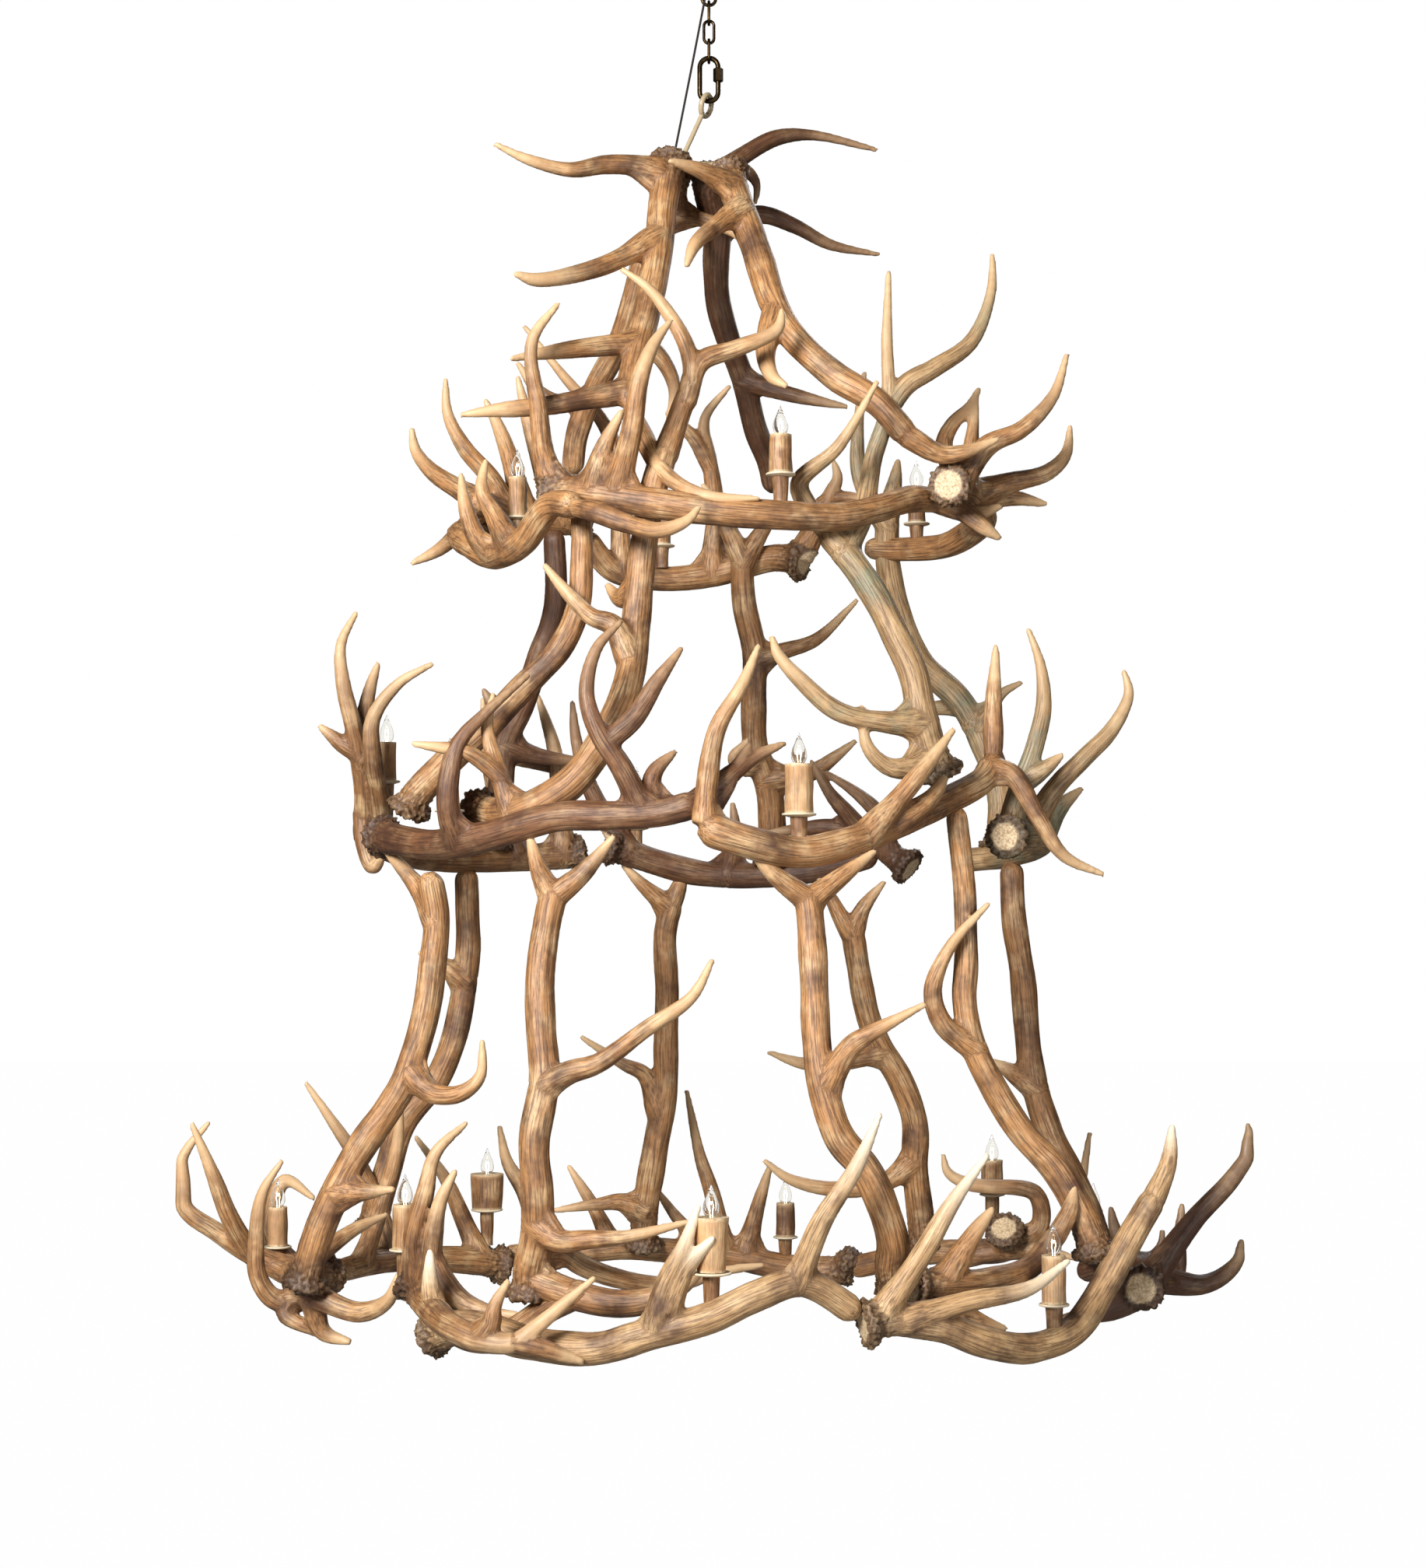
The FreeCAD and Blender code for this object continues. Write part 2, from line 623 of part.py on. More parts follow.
def upper_uprights():
    """Antlers that stand between the middle and the top ring, crowns up."""
    antler("antler_upper_rear_left",
           [(-370, 150, 352), (-358, 240, 335), (-349, 327, 315), (-320, 391, 300), (-291, 476, 282),
            (-265, 560, 262), (-267, 694, 234)],
           [[(-350, 322, 316), (-299, 305, 334), (-255, 298, 345), (-213, 297, 352)],
            [(-342, 345, 312), (-368, 385, 300), (-388, 420, 296)]], girth=0.95)
    antler("antler_upper_front_left",
           [(-513, 208, -253), (-499, 238, -262), (-443, 297, -284), (-384, 352, -306), (-320, 420, -322),
            (-256, 488, -320), (-224, 560, -310), (-218, 650, -302), (-220, 742, -296)], end=0.8)
    antler("antler_upper_front_centre_left",
           [(-395, 210, -292), (-328, 206, -402), (-235, 258, -436), (-171, 348, -420), (-137, 433, -385),
            (-124, 539, -342), (-112, 667, -338), (-96, 760, -338), (-72, 839, -324)],
           [[(-76, 820, -326), (-50, 895, -312), (-29, 961, -312), (-37, 1009, -312), (-68, 1068, -310),
             (-105, 1115, -308), (-152, 1149, -305)],
            [(-40, 915, -312), (-15, 985, -308), (47, 1009, -302), (119, 1043, -296), (127, 1078, -292)],
            [(-135, 470, -370), (-165, 530, -366), (-201, 544, -362), (-248, 591, -352), (-284, 635, -345)],
            [(-118, 600, -335), (-150, 575, -300), (-176, 600, -278)]])
    antler("antler_upper_rear",
           [(108, 119, 451), (107, 190, 440), (102, 248, 425), (79, 321, 405), (76, 400, 385), (78, 479, 365),
            (60, 568, 345), (56, 660, 320)],
           [[(57, 640, 325), (35, 690, 318), (12, 735, 312), (-12, 775, 305)],
            [(57, 635, 326), (90, 690, 322), (120, 730, 316)],
            [(82, 470, 368), (130, 485, 362), (183, 504, 352), (255, 573, 338)],
            [(97, 262, 420), (177, 277, 402), (215, 302, 392), (252, 331, 382)],
            [(84, 300, 410), (62, 285, 400), (42, 300, 392), (70, 335, 386)]])
    antler("antler_upper_front_right",
           [(399, 272, -333), (380, 318, -346), (366, 371, -348), (351, 445, -340), (321, 509, -330),
            (283, 584, -318), (240, 647, -306), (197, 695, -298)],
           [[(200, 690, -298), (170, 735, -306), (156, 775, -312), (224, 839, -345), (292, 953, -362)],
            [(232, 655, -304), (264, 717, -274), (283, 817, -240), (308, 903, -240), (308, 1029, -250),
             (311, 1145, -235)],
            [(305, 890, -240), (340, 945, -236), (389, 975, -228), (453, 1021, -210), (487, 1103, -190),
             (491, 1175, -172)],
            [(368, 361, -348), (316, 361, -372), (223, 380, -392), (157, 435, -398), (119, 479, -396),
             (108, 511, -392)],
            [(385, 305, -342), (345, 284, -365), (305, 287, -378), (272, 321, -385), (261, 391, -382)]])
    antler("antler_upper_rear_right",
           [(496, 144, 250), (500, 232, 278), (469, 330, 300), (429, 400, 308), (360, 469, 312),
            (321, 568, 300), (306, 650, 276), (308, 735, 258)],
           [[(455, 355, 302), (439, 320, 320), (400, 335, 335), (350, 352, 340), (316, 361, 342)],
            [(309, 720, 262), (318, 770, 258), (326, 817, 254)]])


def middle_ring():
    """Antlers laid round the middle ring."""
    antler("antler_middle_front_left",
           [(-559, 167, -160), (-520, 158, -240), (-469, 152, -315), (-384, 165, -400), (-256, 200, -468),
            (-171, 202, -490), (-87, 206, -500), (-15, 224, -509)],
           [[(-22, 222, -500), (25, 262, -488), (75, 300, -466), (133, 327, -450)],
            [(-425, 160, -368), (-446, 215, -410), (-443, 275, -418), (-427, 327, -416), (-380, 380, -404),
             (-307, 445, -385)],
            [(-110, 205, -490), (-149, 284, -512), (-188, 344, -518), (-209, 412, -512), (-192, 488, -500),
             (-149, 537, -488)],
            [(-178, 325, -516), (-128, 369, -512), (-87, 433, -505), (-45, 491, -498)],
            [(-95, 206, -490), (-95, 271, -478), (-56, 313, -470)]])
    antler("antler_middle_left",
           [(-218, 136, 422), (-320, 129, 388), (-409, 127, 322), (-500, 132, 210), (-560, 150, 80),
            (-592, 170, -40)],
           [[(-588, 168, -25), (-592, 263, -72), (-609, 352, -100), (-627, 428, -108), (-631, 496, -100),
             (-605, 552, -88)],
            [(-570, 160, 30), (-560, 210, -60), (-576, 305, -132), (-575, 369, -146), (-532, 428, -152),
             (-473, 463, -150)],
            [(-603, 310, -88), (-630, 326, -92), (-668, 356, -98)],
            [(-250, 131, 412), (-256, 220, 405), (-265, 313, 398), (-280, 365, 392), (-296, 412, 388)]])
    antler("antler_middle_front_right",
           [(-15, 184, -530), (59, 159, -530), (157, 139, -492), (256, 162, -446), (331, 192, -392),
            (404, 226, -325), (469, 263, -268), (488, 298, -240)],
           [[(-5, 188, -528), (-2, 260, -520), (15, 351, -522), (59, 429, -518), (87, 496, -510)],
            [(270, 168, -438), (331, 237, -424), (380, 297, -412), (421, 351, -400)],
            [(310, 185, -410), (380, 232, -386), (410, 280, -350)],
            [(487, 296, -242), (488, 396, -238), (493, 495, -235)],
            [(480, 282, -252), (519, 272, -262), (563, 199, -272), (607, 133, -268), (676, 100, -255)]],
           burr=False)
    antler("antler_middle_right",
           [(507, 166, -232), (540, 168, -150), (565, 162, -30), (560, 150, 90), (510, 134, 208),
            (430, 124, 300)],
           [[(515, 170, -195), (528, 237, -200), (556, 312, -198), (574, 391, -194), (569, 460, -188),
             (548, 524, -182)],
            [(545, 168, -130), (590, 245, -125), (640, 298, -120), (691, 351, -115), (720, 411, -110),
             (711, 452, -108)],
            [(535, 255, -200), (572, 280, -212), (607, 307, -218)],
            [(566, 160, 10), (600, 215, 20), (640, 250, 25)]])
    antler("antler_middle_rear",
           [(-172, 150, 432), (-87, 121, 458), (-15, 103, 468), (84, 99, 468), (180, 107, 440),
            (286, 134, 385)],
           [[(-140, 142, 440), (-200, 240, 425), (-227, 327, 412), (-235, 399, 402)],
            [(30, 98, 468), (45, 160, 490), (40, 225, 500)]])
    antler("antler_middle_rear_right",
           [(342, 112, 350), (298, 145, 374), (262, 172, 372), (215, 198, 372)],
           [[(306, 140, 366), (291, 200, 352), (256, 237, 346), (197, 277, 342)],
            [(270, 168, 372), (241, 200, 352), (207, 240, 340), (173, 297, 334)]], end=0.6)


def lower_uprights():
    """Antlers that stand between the bottom and the middle ring, crowns up and burrs down."""
    antler("antler_lower_front_left",
           [(-684, -595, -226), (-674, -548, -238), (-653, -485, -245), (-620, -415, -248), (-587, -357, -250),
            (-543, -295, -250), (-517, -250, -250), (-483, -140, -246), (-471, -55, -240), (-465, 29, -235),
            (-478, 105, -238)],
           [[(-468, 20, -236), (-490, 70, -212), (-525, 114, -194), (-556, 146, -170)],
            [(-508, -232, -250), (-470, -270, -275), (-424, -272, -295), (-389, -243, -305), (-385, -179, -305)],
            [(-632, -440, -247), (-590, -438, -272), (-533, -433, -300)]])
    antler("antler_lower_rear_left",
           [(-572, -505, 350), (-562, -457, 350), (-543, -391, 348), (-520, -319, 345), (-465, -251, 340),
            (-436, -183, 336), (-420, -107, 332), (-411, -20, 328), (-413, 45, 325), (-415, 112, 322)],
           [[(-412, -85, 330), (-444, -60, 318), (-470, -42, 310), (-496, -32, 305)]])
    antler("antler_lower_front_centre_left",
           [(-304, -613, -508), (-302, -565, -516), (-291, -513, -530), (-291, -431, -545), (-296, -353, -545),
            (-279, -247, -535), (-285, -161, -522), (-287, -76, -508), (-275, 21, -488), (-262, 75, -478)],
           [[(-266, 60, -480), (-290, 112, -460), (-308, 172, -444)],
            [(-264, 62, -480), (-210, 108, -488), (-160, 168, -496)],
            [(-281, -260, -536), (-235, -235, -560), (-189, -221, -572), (-104, -161, -580), (-28, -107, -580),
             (8, -43, -575)],
            [(-292, -490, -535), (-255, -519, -558), (-200, -518, -575), (-139, -513, -585), (-28, -487, -590)]])
    antler("antler_lower_rear_centre_left",
           [(-112, -530, 570), (-110, -480, 552), (-92, -365, 525), (-75, -268, 512), (-74, -183, 502),
            (-72, -97, 492), (-75, 0, 480), (-62, 60, 472)],
           [[(-66, 45, 474), (-105, 75, 462), (-150, 120, 448)],
            [(-64, 50, 473), (-50, 85, 470), (-45, 108, 474)],
            [(-82, -310, 518), (-110, -240, 505), (-147, -221, 495), (-219, -175, 485)],
            [(-108, -470, 543), (-150, -455, 530), (-193, -459, 520), (-265, -469, 510)]])
    antler("antler_lower_front_centre_right",
           [(322, -597, -499), (310, -565, -512), (313, -525, -525), (297, -465, -538), (267, -400, -545),
            (223, -345, -545), (192, -247, -535), (184, -183, -525), (180, -76, -508), (174, 20, -490),
            (168, 72, -480)],
           [[(170, 58, -482), (118, 96, -502), (70, 142, -522)],
            [(170, 55, -482), (230, 100, -465), (285, 142, -448)],
            [(198, -262, -537), (245, -190, -560), (285, -165, -570), (371, -119, -575)]])
    antler("antler_lower_rear_centre_right",
           [(364, -529, 494), (357, -466, 480), (349, -395, 458), (349, -318, 448), (324, -247, 438),
            (291, -191, 428), (270, -140, 420), (254, -55, 410), (244, 10, 402)],
           [[(246, -5, 404), (225, 28, 398), (205, 66, 404), (184, 98, 430)],
            [(246, -2, 403), (262, 42, 392), (300, 90, 375)],
            [(295, -200, 429), (231, -217, 410), (163, -221, 398), (99, -201, 388)],
            [(349, -385, 456), (290, -425, 440), (213, -433, 425), (137, -416, 415), (92, -384, 408)]])
    antler("antler_lower_front_right",
           [(655, -545, -318), (648, -515, -318), (632, -475, -315), (593, -404, -312), (532, -337, -308),
            (477, -247, -302), (448, -183, -300), (436, -110, -298), (439, -55, -298), (437, 72, -300),
            (423, 216, -315)],
           [[(455, -198, -301), (400, -155, -318), (382, -97, -326), (413, -21, -330), (479, 53, -325)]],
           end=0.8)
    antler("antler_lower_rear_right",
           [(667, -548, 182), (647, -487, 184), (622, -425, 194), (578, -335, 204), (551, -247, 204),
            (541, -161, 198), (535, -76, 190), (520, 29, 180), (517, 123, 182)],
           [[(556, -262, 204), (515, -235, 196), (480, -215, 192)]])


def bottom_ring():
    """Antlers laid round the bottom ring, the widest."""
    antler("antler_bottom_left",
           [(-645, -580, 160), (-690, -578, 60), (-702, -580, -50), (-690, -606, -140), (-664, -613, -217)],
           [[(-700, -575, 0), (-781, -540, -20), (-835, -505, -30), (-887, -467, -35), (-902, -415, -35),
             (-887, -367, -35), (-848, -319, -32)],
            [(-775, -543, -18), (-815, -476, -62), (-843, -405, -78), (-879, -321, -90)],
            [(-680, -615, -160), (-733, -619, -172), (-763, -581, -182), (-767, -509, -190), (-757, -439, -196),
             (-724, -384, -200)],
            [(-668, -613, -204), (-591, -640, -232), (-543, -620, -262), (-525, -575, -285)],
            [(-672, -612, -194), (-653, -672, -190), (-605, -691, -205)],
            [(-700, -576, 20), (-745, -500, 82), (-720, -419, 96), (-668, -450, 92)]])
    antler("antler_bottom_front_left",
           [(-500, -585, -330), (-481, -615, -352), (-443, -657, -395), (-391, -682, -447), (-332, -676, -486),
            (-270, -633, -518), (-201, -600, -548)],
           [[(-490, -600, -342), (-500, -524, -382), (-481, -439, -390), (-463, -372, -388), (-409, -319, -375)],
            [(-478, -618, -356), (-470, -540, -404), (-456, -457, -414), (-429, -400, -412)]])
    antler("antler_bottom_front",
           [(-467, -676, -452), (-400, -664, -512), (-304, -691, -566), (-193, -701, -612), (-111, -680, -634),
            (0, -650, -642), (83, -612, -636), (160, -590, -618), (255, -643, -596)],
           [[(-455, -674, -465), (-470, -600, -478), (-472, -533, -480)],
            [(-90, -672, -636), (-74, -600, -650), (-42, -531, -652), (-16, -459, -645)],
            [(-70, -640, -645), (-40, -570, -660), (11, -513, -664)],
            [(150, -592, -620), (193, -487, -640), (249, -400, -640), (293, -304, -630)]])
    antler("antler_bottom_front_right",
           [(264, -661, -592), (313, -652, -580), (389, -662, -556), (465, -689, -520), (543, -700, -465),
            (619, -669, -405), (669, -597, -360), (718, -510, -332), (760, -440, -315)],
           [[(285, -655, -588), (364, -540, -590), (415, -455, -585), (476, -373, -575)],
            [(330, -655, -578), (440, -622, -560), (543, -600, -530), (613, -552, -500)],
            [(755, -450, -318), (780, -390, -305), (788, -323, -295)]])
    antler("antler_bottom_right_inner",
           [(347, -598, -480), (410, -595, -452), (465, -590, -425), (543, -565, -378), (593, -507, -350)],
           [[(588, -515, -352), (612, -470, -340), (621, -425, -330)],
            [(395, -597, -457), (451, -507, -440), (484, -463, -430)]], end=0.8)
    antler("antler_bottom_right",
           [(733, -600, -270), (748, -588, -180), (752, -575, -60), (735, -566, 60), (690, -557, 180),
            (632, -572, 280)],
           [[(742, -592, -215), (823, -485, -200), (889, -415, -190), (922, -359, -182), (915, -322, -178)],
            [(750, -582, -120), (839, -593, -110), (889, -563, -102), (912, -516, -95)],
            [(752, -576, -70), (788, -577, -60), (797, -516, -55), (803, -457, -52)]])
    antler("antler_bottom_rear_right",
           [(500, -500, 372), (505, -530, 420), (450, -539, 462), (370, -540, 503), (238, -566, 584)],
           [[(500, -522, 405), (560, -495, 395), (553, -440, 385), (440, -424, 380), (405, -404, 378),
             (397, -373, 376)],
            [(505, -530, 412), (568, -530, 395), (620, -460, 388), (647, -337, 380)]])
    antler("antler_bottom_rear",
           [(240, -570, 582), (139, -566, 610), (40, -545, 622), (-50, -537, 608), (-150, -532, 585),
            (-240, -540, 568), (-350, -546, 515)],
           [[(60, -548, 620), (83, -459, 604), (105, -387, 592)],
            [(25, -542, 622), (5, -441, 628), (-16, -376, 622), (-39, -265, 612)],
            [(-160, -538, 598), (-193, -469, 602), (-240, -392, 598)],
            [(-285, -542, 550), (-312, -440, 552), (-343, -387, 548), (-357, -325, 540)]])
    antler("antler_bottom_rear_left",
           [(-350, -560, 508), (-420, -552, 452), (-500, -550, 372), (-570, -556, 280), (-625, -570, 195)],
           [[(-385, -556, 482), (-420, -476, 478), (-448, -415, 468), (-500, -343, 458)],
            [(-535, -552, 330), (-560, -470, 322), (-600, -380, 312), (-643, -315, 304), (-687, -252, 296)],
            [(-590, -560, 250), (-560, -470, 240), (-530, -360, 228), (-525, -270, 220)]])


# ---------------------------------------------------------------- lights
LIGHTS = []


def light(x, z, y, width, top_width, height, stub):
    """One candle light: its dish's drawn place, the sleeve's two widths and height, and the stub's length."""
    LIGHTS.append((laid(x, z, y), width, top_width, height, stub))


def place_lights():
    """The sixteen lights: four to the top ring, four to the middle ring and eight to the bottom ring."""
    light(-329, 716, -200, 34, 31, 66, 42)
    light(124, 792, -372, 40, 36, 62, 52)
    light(357, 706, 222, 34, 32, 66, 34)
    light(-81, 668, 352, 34, 32, 66, 38)
    light(-552, 262, 22, 36, 34, 66, 84)
    light(-443, 212, -362, 34, 30, 66, 48)
    light(-125, 182, 446, 34, 32, 66, 34)
    light(155, 206, -488, 46, 44, 76, 50)
    light(-731, -528, 20, 36, 34, 66, 42)
    light(-515, -533, -315, 42, 40, 70, 47)
    light(-377, -466, 490, 52, 40, 66, 62)
    light(5, -572, -634, 54, 46, 80, 50)
    light(129, -512, 616, 38, 36, 64, 34)
    light(480, -440, 446, 40, 38, 62, 78)
    light(585, -625, -428, 40, 38, 74, 40)
    light(652, -520, 270, 36, 34, 56, 34)


UP = Vector(0, 0, 1)
STUB_SIDES = 6
DISH_SIDES = 10
SLEEVE_SIDES = 8
SOCKET_SIDES = 6
BULB_SIDES = 7
# Rise along the bulb and width there, as shares of its length and diameter.
BULB_OUTLINE = ((0, 0.40), (0.18, 0.92), (0.36, 1.0), (0.66, 0.62), (1.0, 0.08))
STUB_FOOT = 0.85
DISH_FOOT = 0.7
DISH_FLARE = 0.6
DISH_LEDGE = 8


def upright(foot, rises, widths, sides):
    """Solid of upright many-sided sections over a foot."""
    points = [foot + UP * rise for rise in rises]
    return skin(points, [width / 2 for width in widths], sides)


def stub_limbs():
    """Antler stubs that carry the dishes."""
    limbs = []
    for dish, _, _, _, length in LIGHTS:
        top = dish - UP * size("dish_thickness")
        width = size("stub_diameter") / 2
        limbs.append(Limb([top - UP * length, top], [width * STUB_FOOT, width], STUB_SIDES))
    return limbs


def dishes():
    """Round ivory drip dishes, thinner at the rim."""
    solids = []
    thick = size("dish_thickness")
    wide = size("dish_diameter")
    for dish, width, _, _, _ in LIGHTS:
        across = max(wide, width + DISH_LEDGE)
        solids.append(upright(dish - UP * thick, (0, thick * DISH_FLARE, thick),
                              (across * DISH_FOOT, across, across), DISH_SIDES))
    return solids


def sleeves():
    """Antler sections bored for the lamp sockets."""
    solids = []
    bore = size("sleeve_bore")
    for dish, width, top_width, height, _ in LIGHTS:
        outside = upright(dish, (0, height), (width, top_width), SLEEVE_SIDES)
        inside = upright(dish, (0, height), (bore, bore), SOCKET_SIDES)
        solids.append(outside.cut(inside))
    return solids


def sockets():
    """Lamp sockets in the sleeves, open at the top for a bulb's screw base."""
    solids = []
    width = size("socket_diameter")
    bore = size("bulb_base_diameter") + 4 * size("thread_gap")
    for dish, _, _, height, _ in LIGHTS:
        top = height - size("socket_inset")
        outside = upright(dish, (0, top), (width, width), SOCKET_SIDES)
        well = top - size("bulb_base_length")
        solids.append(outside.cut(upright(dish, (well, top + 1), (bore, bore), SOCKET_SIDES)))
    return solids


def bulbs():
    """Clear flame-tip bulbs that stand on their screw bases."""
    solids = []
    for dish, _, _, height, _ in LIGHTS:
        foot = height - size("socket_inset")
        rises = [foot + size("bulb_length") * rise for rise, _ in BULB_OUTLINE]
        widths = [size("bulb_diameter") * width for _, width in BULB_OUTLINE]
        solids.append(upright(dish, rises, widths, BULB_SIDES))
    return solids


def bulb_bases():
    """Screw bases of the bulbs, down in the sockets."""
    solids = []
    width = size("bulb_base_diameter")
    for dish, _, _, height, _ in LIGHTS:
        top = height - size("socket_inset")
        solids.append(upright(dish, (top - size("bulb_base_length"), top), (width, width), SOCKET_SIDES))
    return solids


# ---------------------------------------------------------------- seating limbs on one another
def near(first, second):
    """Whether two limbs' boxes come within the seat's gap."""
    for i in range(3):
        if first.low[i] > second.high[i] + seat_gap or second.low[i] > first.high[i] + seat_gap:
            return False
    return True


def meeting(first, second):
    """The two radii where two limbs come nearest, or None where they stay apart."""
    if not near(first, second):
        return None
    best = seat_gap
    found = None
    for place, radius in first.balls:
        for other, other_radius in second.balls:
            space = (place - other).Length - radius - other_radius
            if space < best:
                best = space
                found = (radius, other_radius)
    return found


def seated(groups):
    """Fused solid of each group of limbs, notched over the thinner limbs of other groups that it meets."""
    names = list(groups)
    solids = {}
    notches = {name: [] for name in names}
    for i, name in enumerate(names):
        for other in names[i + 1:]:
            for first in groups[name]:
                for second in groups[other]:
                    radii = meeting(first, second)
                    if radii is None:
                        continue
                    if radii[0] >= radii[1]:
                        notches[name].append(second)
                    else:
                        notches[other].append(first)
    for name in names:
        limbs = groups[name]
        solid = limbs[0].solid()
        if len(limbs) > 1:
            solid = solid.multiFuse([limb.solid() for limb in limbs[1:]])
        if notches[name]:
            solid = solid.cut([limb.solid(seat_gap) for limb in notches[name]])
        solids[name] = solid
    return solids


# ---------------------------------------------------------------- building
for build in (apex_antlers, top_ring, upper_uprights, middle_ring, lower_uprights, bottom_ring, place_lights):
    build()

ceiling_bracket()
canopy()
screw_collar()
hanging_loop()
chain_links()
quick_link()
eye_bolt()
cord_bushing()

groups = dict(ANTLERS)
for number, stub in enumerate(stub_limbs()):
    groups["stub_%02d" % number] = [stub]
solids = seated(groups)
screw_hole = shank(eye_wire - SHANK_NECKING + size("thread_gap"))
for name in ANTLERS:
    if name.startswith("antler_apex"):
        solids[name] = solids[name].cut(screw_hole)
    node(name, shaped(name, solids[name]))
stubs = [solid for name, solid in solids.items() if name.startswith("stub_")]
node("candle_stubs", shaped("candle_stubs", Part.makeCompound(stubs)))
node("candle_dishes", shaped("candle_dishes", Part.makeCompound(dishes())))
node("candle_sleeves", shaped("candle_sleeves", Part.makeCompound(sleeves())))
node("lamp_sockets", shaped("lamp_sockets", Part.makeCompound(sockets())))
node("bulbs", shaped("bulbs", Part.makeCompound(bulbs())))
node("bulb_bases", shaped("bulb_bases", Part.makeCompound(bulb_bases())))

cord_high, cord_low = cord_ends()
cord = rod_along(cord_high, cord_low, size("cord_diameter") / 2)
cord = cord.cut([limb.solid(seat_gap) for limb in ANTLERS["antler_apex_front_left"]])
node("supply_cord", shaped("supply_cord", cord))
doc.recompute()

# ---------------------------------------------------------------- checks and files
for thing in doc.Objects:
    if "Invalid" in thing.State or "Error" in thing.State:
        raise RuntimeError("%s did not build" % thing.Name)
for name, thing in NODES.items():
    shape = thing.Shape
    if shape.isNull() or not shape.isValid():
        raise RuntimeError("%s has no valid solid" % name)
for name, thing in NODES.items():
    thing.Shape.exportStep("parts/%s.step" % name)
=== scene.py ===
"""Antler chandelier, dressed for its looks: smooth grooved antlers, candle lights, chain, canopy and cord.

Metres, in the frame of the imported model: +Z is up, the origin is at the ceiling and -Y is the front.
"""
import json
import math

import bmesh
import bpy
import numpy as np
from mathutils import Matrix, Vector, noise


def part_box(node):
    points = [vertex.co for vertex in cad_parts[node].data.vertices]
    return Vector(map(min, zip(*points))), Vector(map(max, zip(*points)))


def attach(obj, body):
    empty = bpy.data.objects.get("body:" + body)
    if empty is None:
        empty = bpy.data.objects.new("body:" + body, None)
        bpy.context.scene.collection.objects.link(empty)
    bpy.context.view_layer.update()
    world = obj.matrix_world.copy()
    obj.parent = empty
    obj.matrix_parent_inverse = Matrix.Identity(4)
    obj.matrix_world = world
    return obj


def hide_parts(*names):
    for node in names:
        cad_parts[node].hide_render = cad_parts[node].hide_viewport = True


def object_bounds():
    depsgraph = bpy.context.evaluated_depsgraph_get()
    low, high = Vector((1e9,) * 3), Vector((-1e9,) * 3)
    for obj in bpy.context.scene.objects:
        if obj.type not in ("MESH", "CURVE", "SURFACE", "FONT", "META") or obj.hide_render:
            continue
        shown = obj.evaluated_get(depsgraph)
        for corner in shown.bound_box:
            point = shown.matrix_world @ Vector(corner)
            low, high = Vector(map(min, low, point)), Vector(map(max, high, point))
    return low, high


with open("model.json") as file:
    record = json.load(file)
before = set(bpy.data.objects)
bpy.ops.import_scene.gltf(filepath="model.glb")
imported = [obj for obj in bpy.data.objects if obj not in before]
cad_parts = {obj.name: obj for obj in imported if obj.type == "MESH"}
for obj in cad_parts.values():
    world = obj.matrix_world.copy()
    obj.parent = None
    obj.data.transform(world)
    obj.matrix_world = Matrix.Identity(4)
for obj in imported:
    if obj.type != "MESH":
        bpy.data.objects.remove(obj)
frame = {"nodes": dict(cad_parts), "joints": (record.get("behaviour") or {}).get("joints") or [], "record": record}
CAD_BOX = [list(corner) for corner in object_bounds()]

bl_info = {
    "name": "Antler Chandelier",
    "version": (1, 0, 0),
    "blender": (4, 5, 0),
    "location": "View3D > Sidebar > Chandelier",
    "description": "Three rings of shed antlers with candle lights, hung by a short chain",
    "category": "Object",
}

MM = 0.001
BODY = "chandelier"


# ---------------------------------------------------------------- settings
def colour_property(name, description, text):
    """A colour setting whose default is an sRGB hex value."""
    return bpy.props.StringProperty(name=name, description=description, default=text)


def length_property(name, description, metres, smallest=0.0):
    """A length setting whose default is in metres."""
    return bpy.props.FloatProperty(name=name, description=description, default=metres, min=smallest,
                                   unit="LENGTH", precision=4)


class ChandelierSizes(bpy.types.PropertyGroup):
    """Sizes that shape the antlers and the lights."""

    voxel: length_property("Skin step", "Edge of the antler skin's faces", 0.004, smallest=0.002)
    groove_depth: length_property("Groove depth", "Depth of the long grooves in a beam", 0.0011)
    pearl_height: length_property("Pearl height", "Height of the knobs on a burr", 0.0075)
    web: bpy.props.FloatProperty(
        name="Fork flare", description="How much wider a tine is at its root than beyond it", default=0.6,
        subtype="FACTOR")
    beam: length_property("Beam diameter", "Beam just above the burr", 0.053)
    beam_end: length_property("Beam end diameter", "Beam at the crown", 0.043)
    tine_root: length_property("Tine diameter", "Tine beyond its flared root", 0.0355)
    burr: length_property("Burr diameter", "Across the burr", 0.076)
    burr_thickness: length_property("Burr thickness", "Along the burr", 0.022)
    stub: length_property("Stub diameter", "Antler stub under a light", 0.028)
    dish: length_property("Dish diameter", "Drip dish under a sleeve", 0.048)
    dish_thickness: length_property("Dish thickness", "Drip dish, foot to rim", 0.006)
    sleeve_bore: length_property("Sleeve bore", "Hole down a sleeve", 0.020)
    socket: length_property("Socket diameter", "Lamp socket", 0.0178)
    socket_inset: length_property("Socket inset", "Socket's top below the sleeve's", 0.004)
    bulb: length_property("Bulb diameter", "Widest part of the glass", 0.025)
    bulb_length: length_property("Bulb length", "Glass, from its screw base to the tip", 0.052)
    base: length_property("Screw base diameter", "The bulb's screw base", 0.0113)
    base_length: length_property("Screw base length", "The bulb's screw base", 0.020)


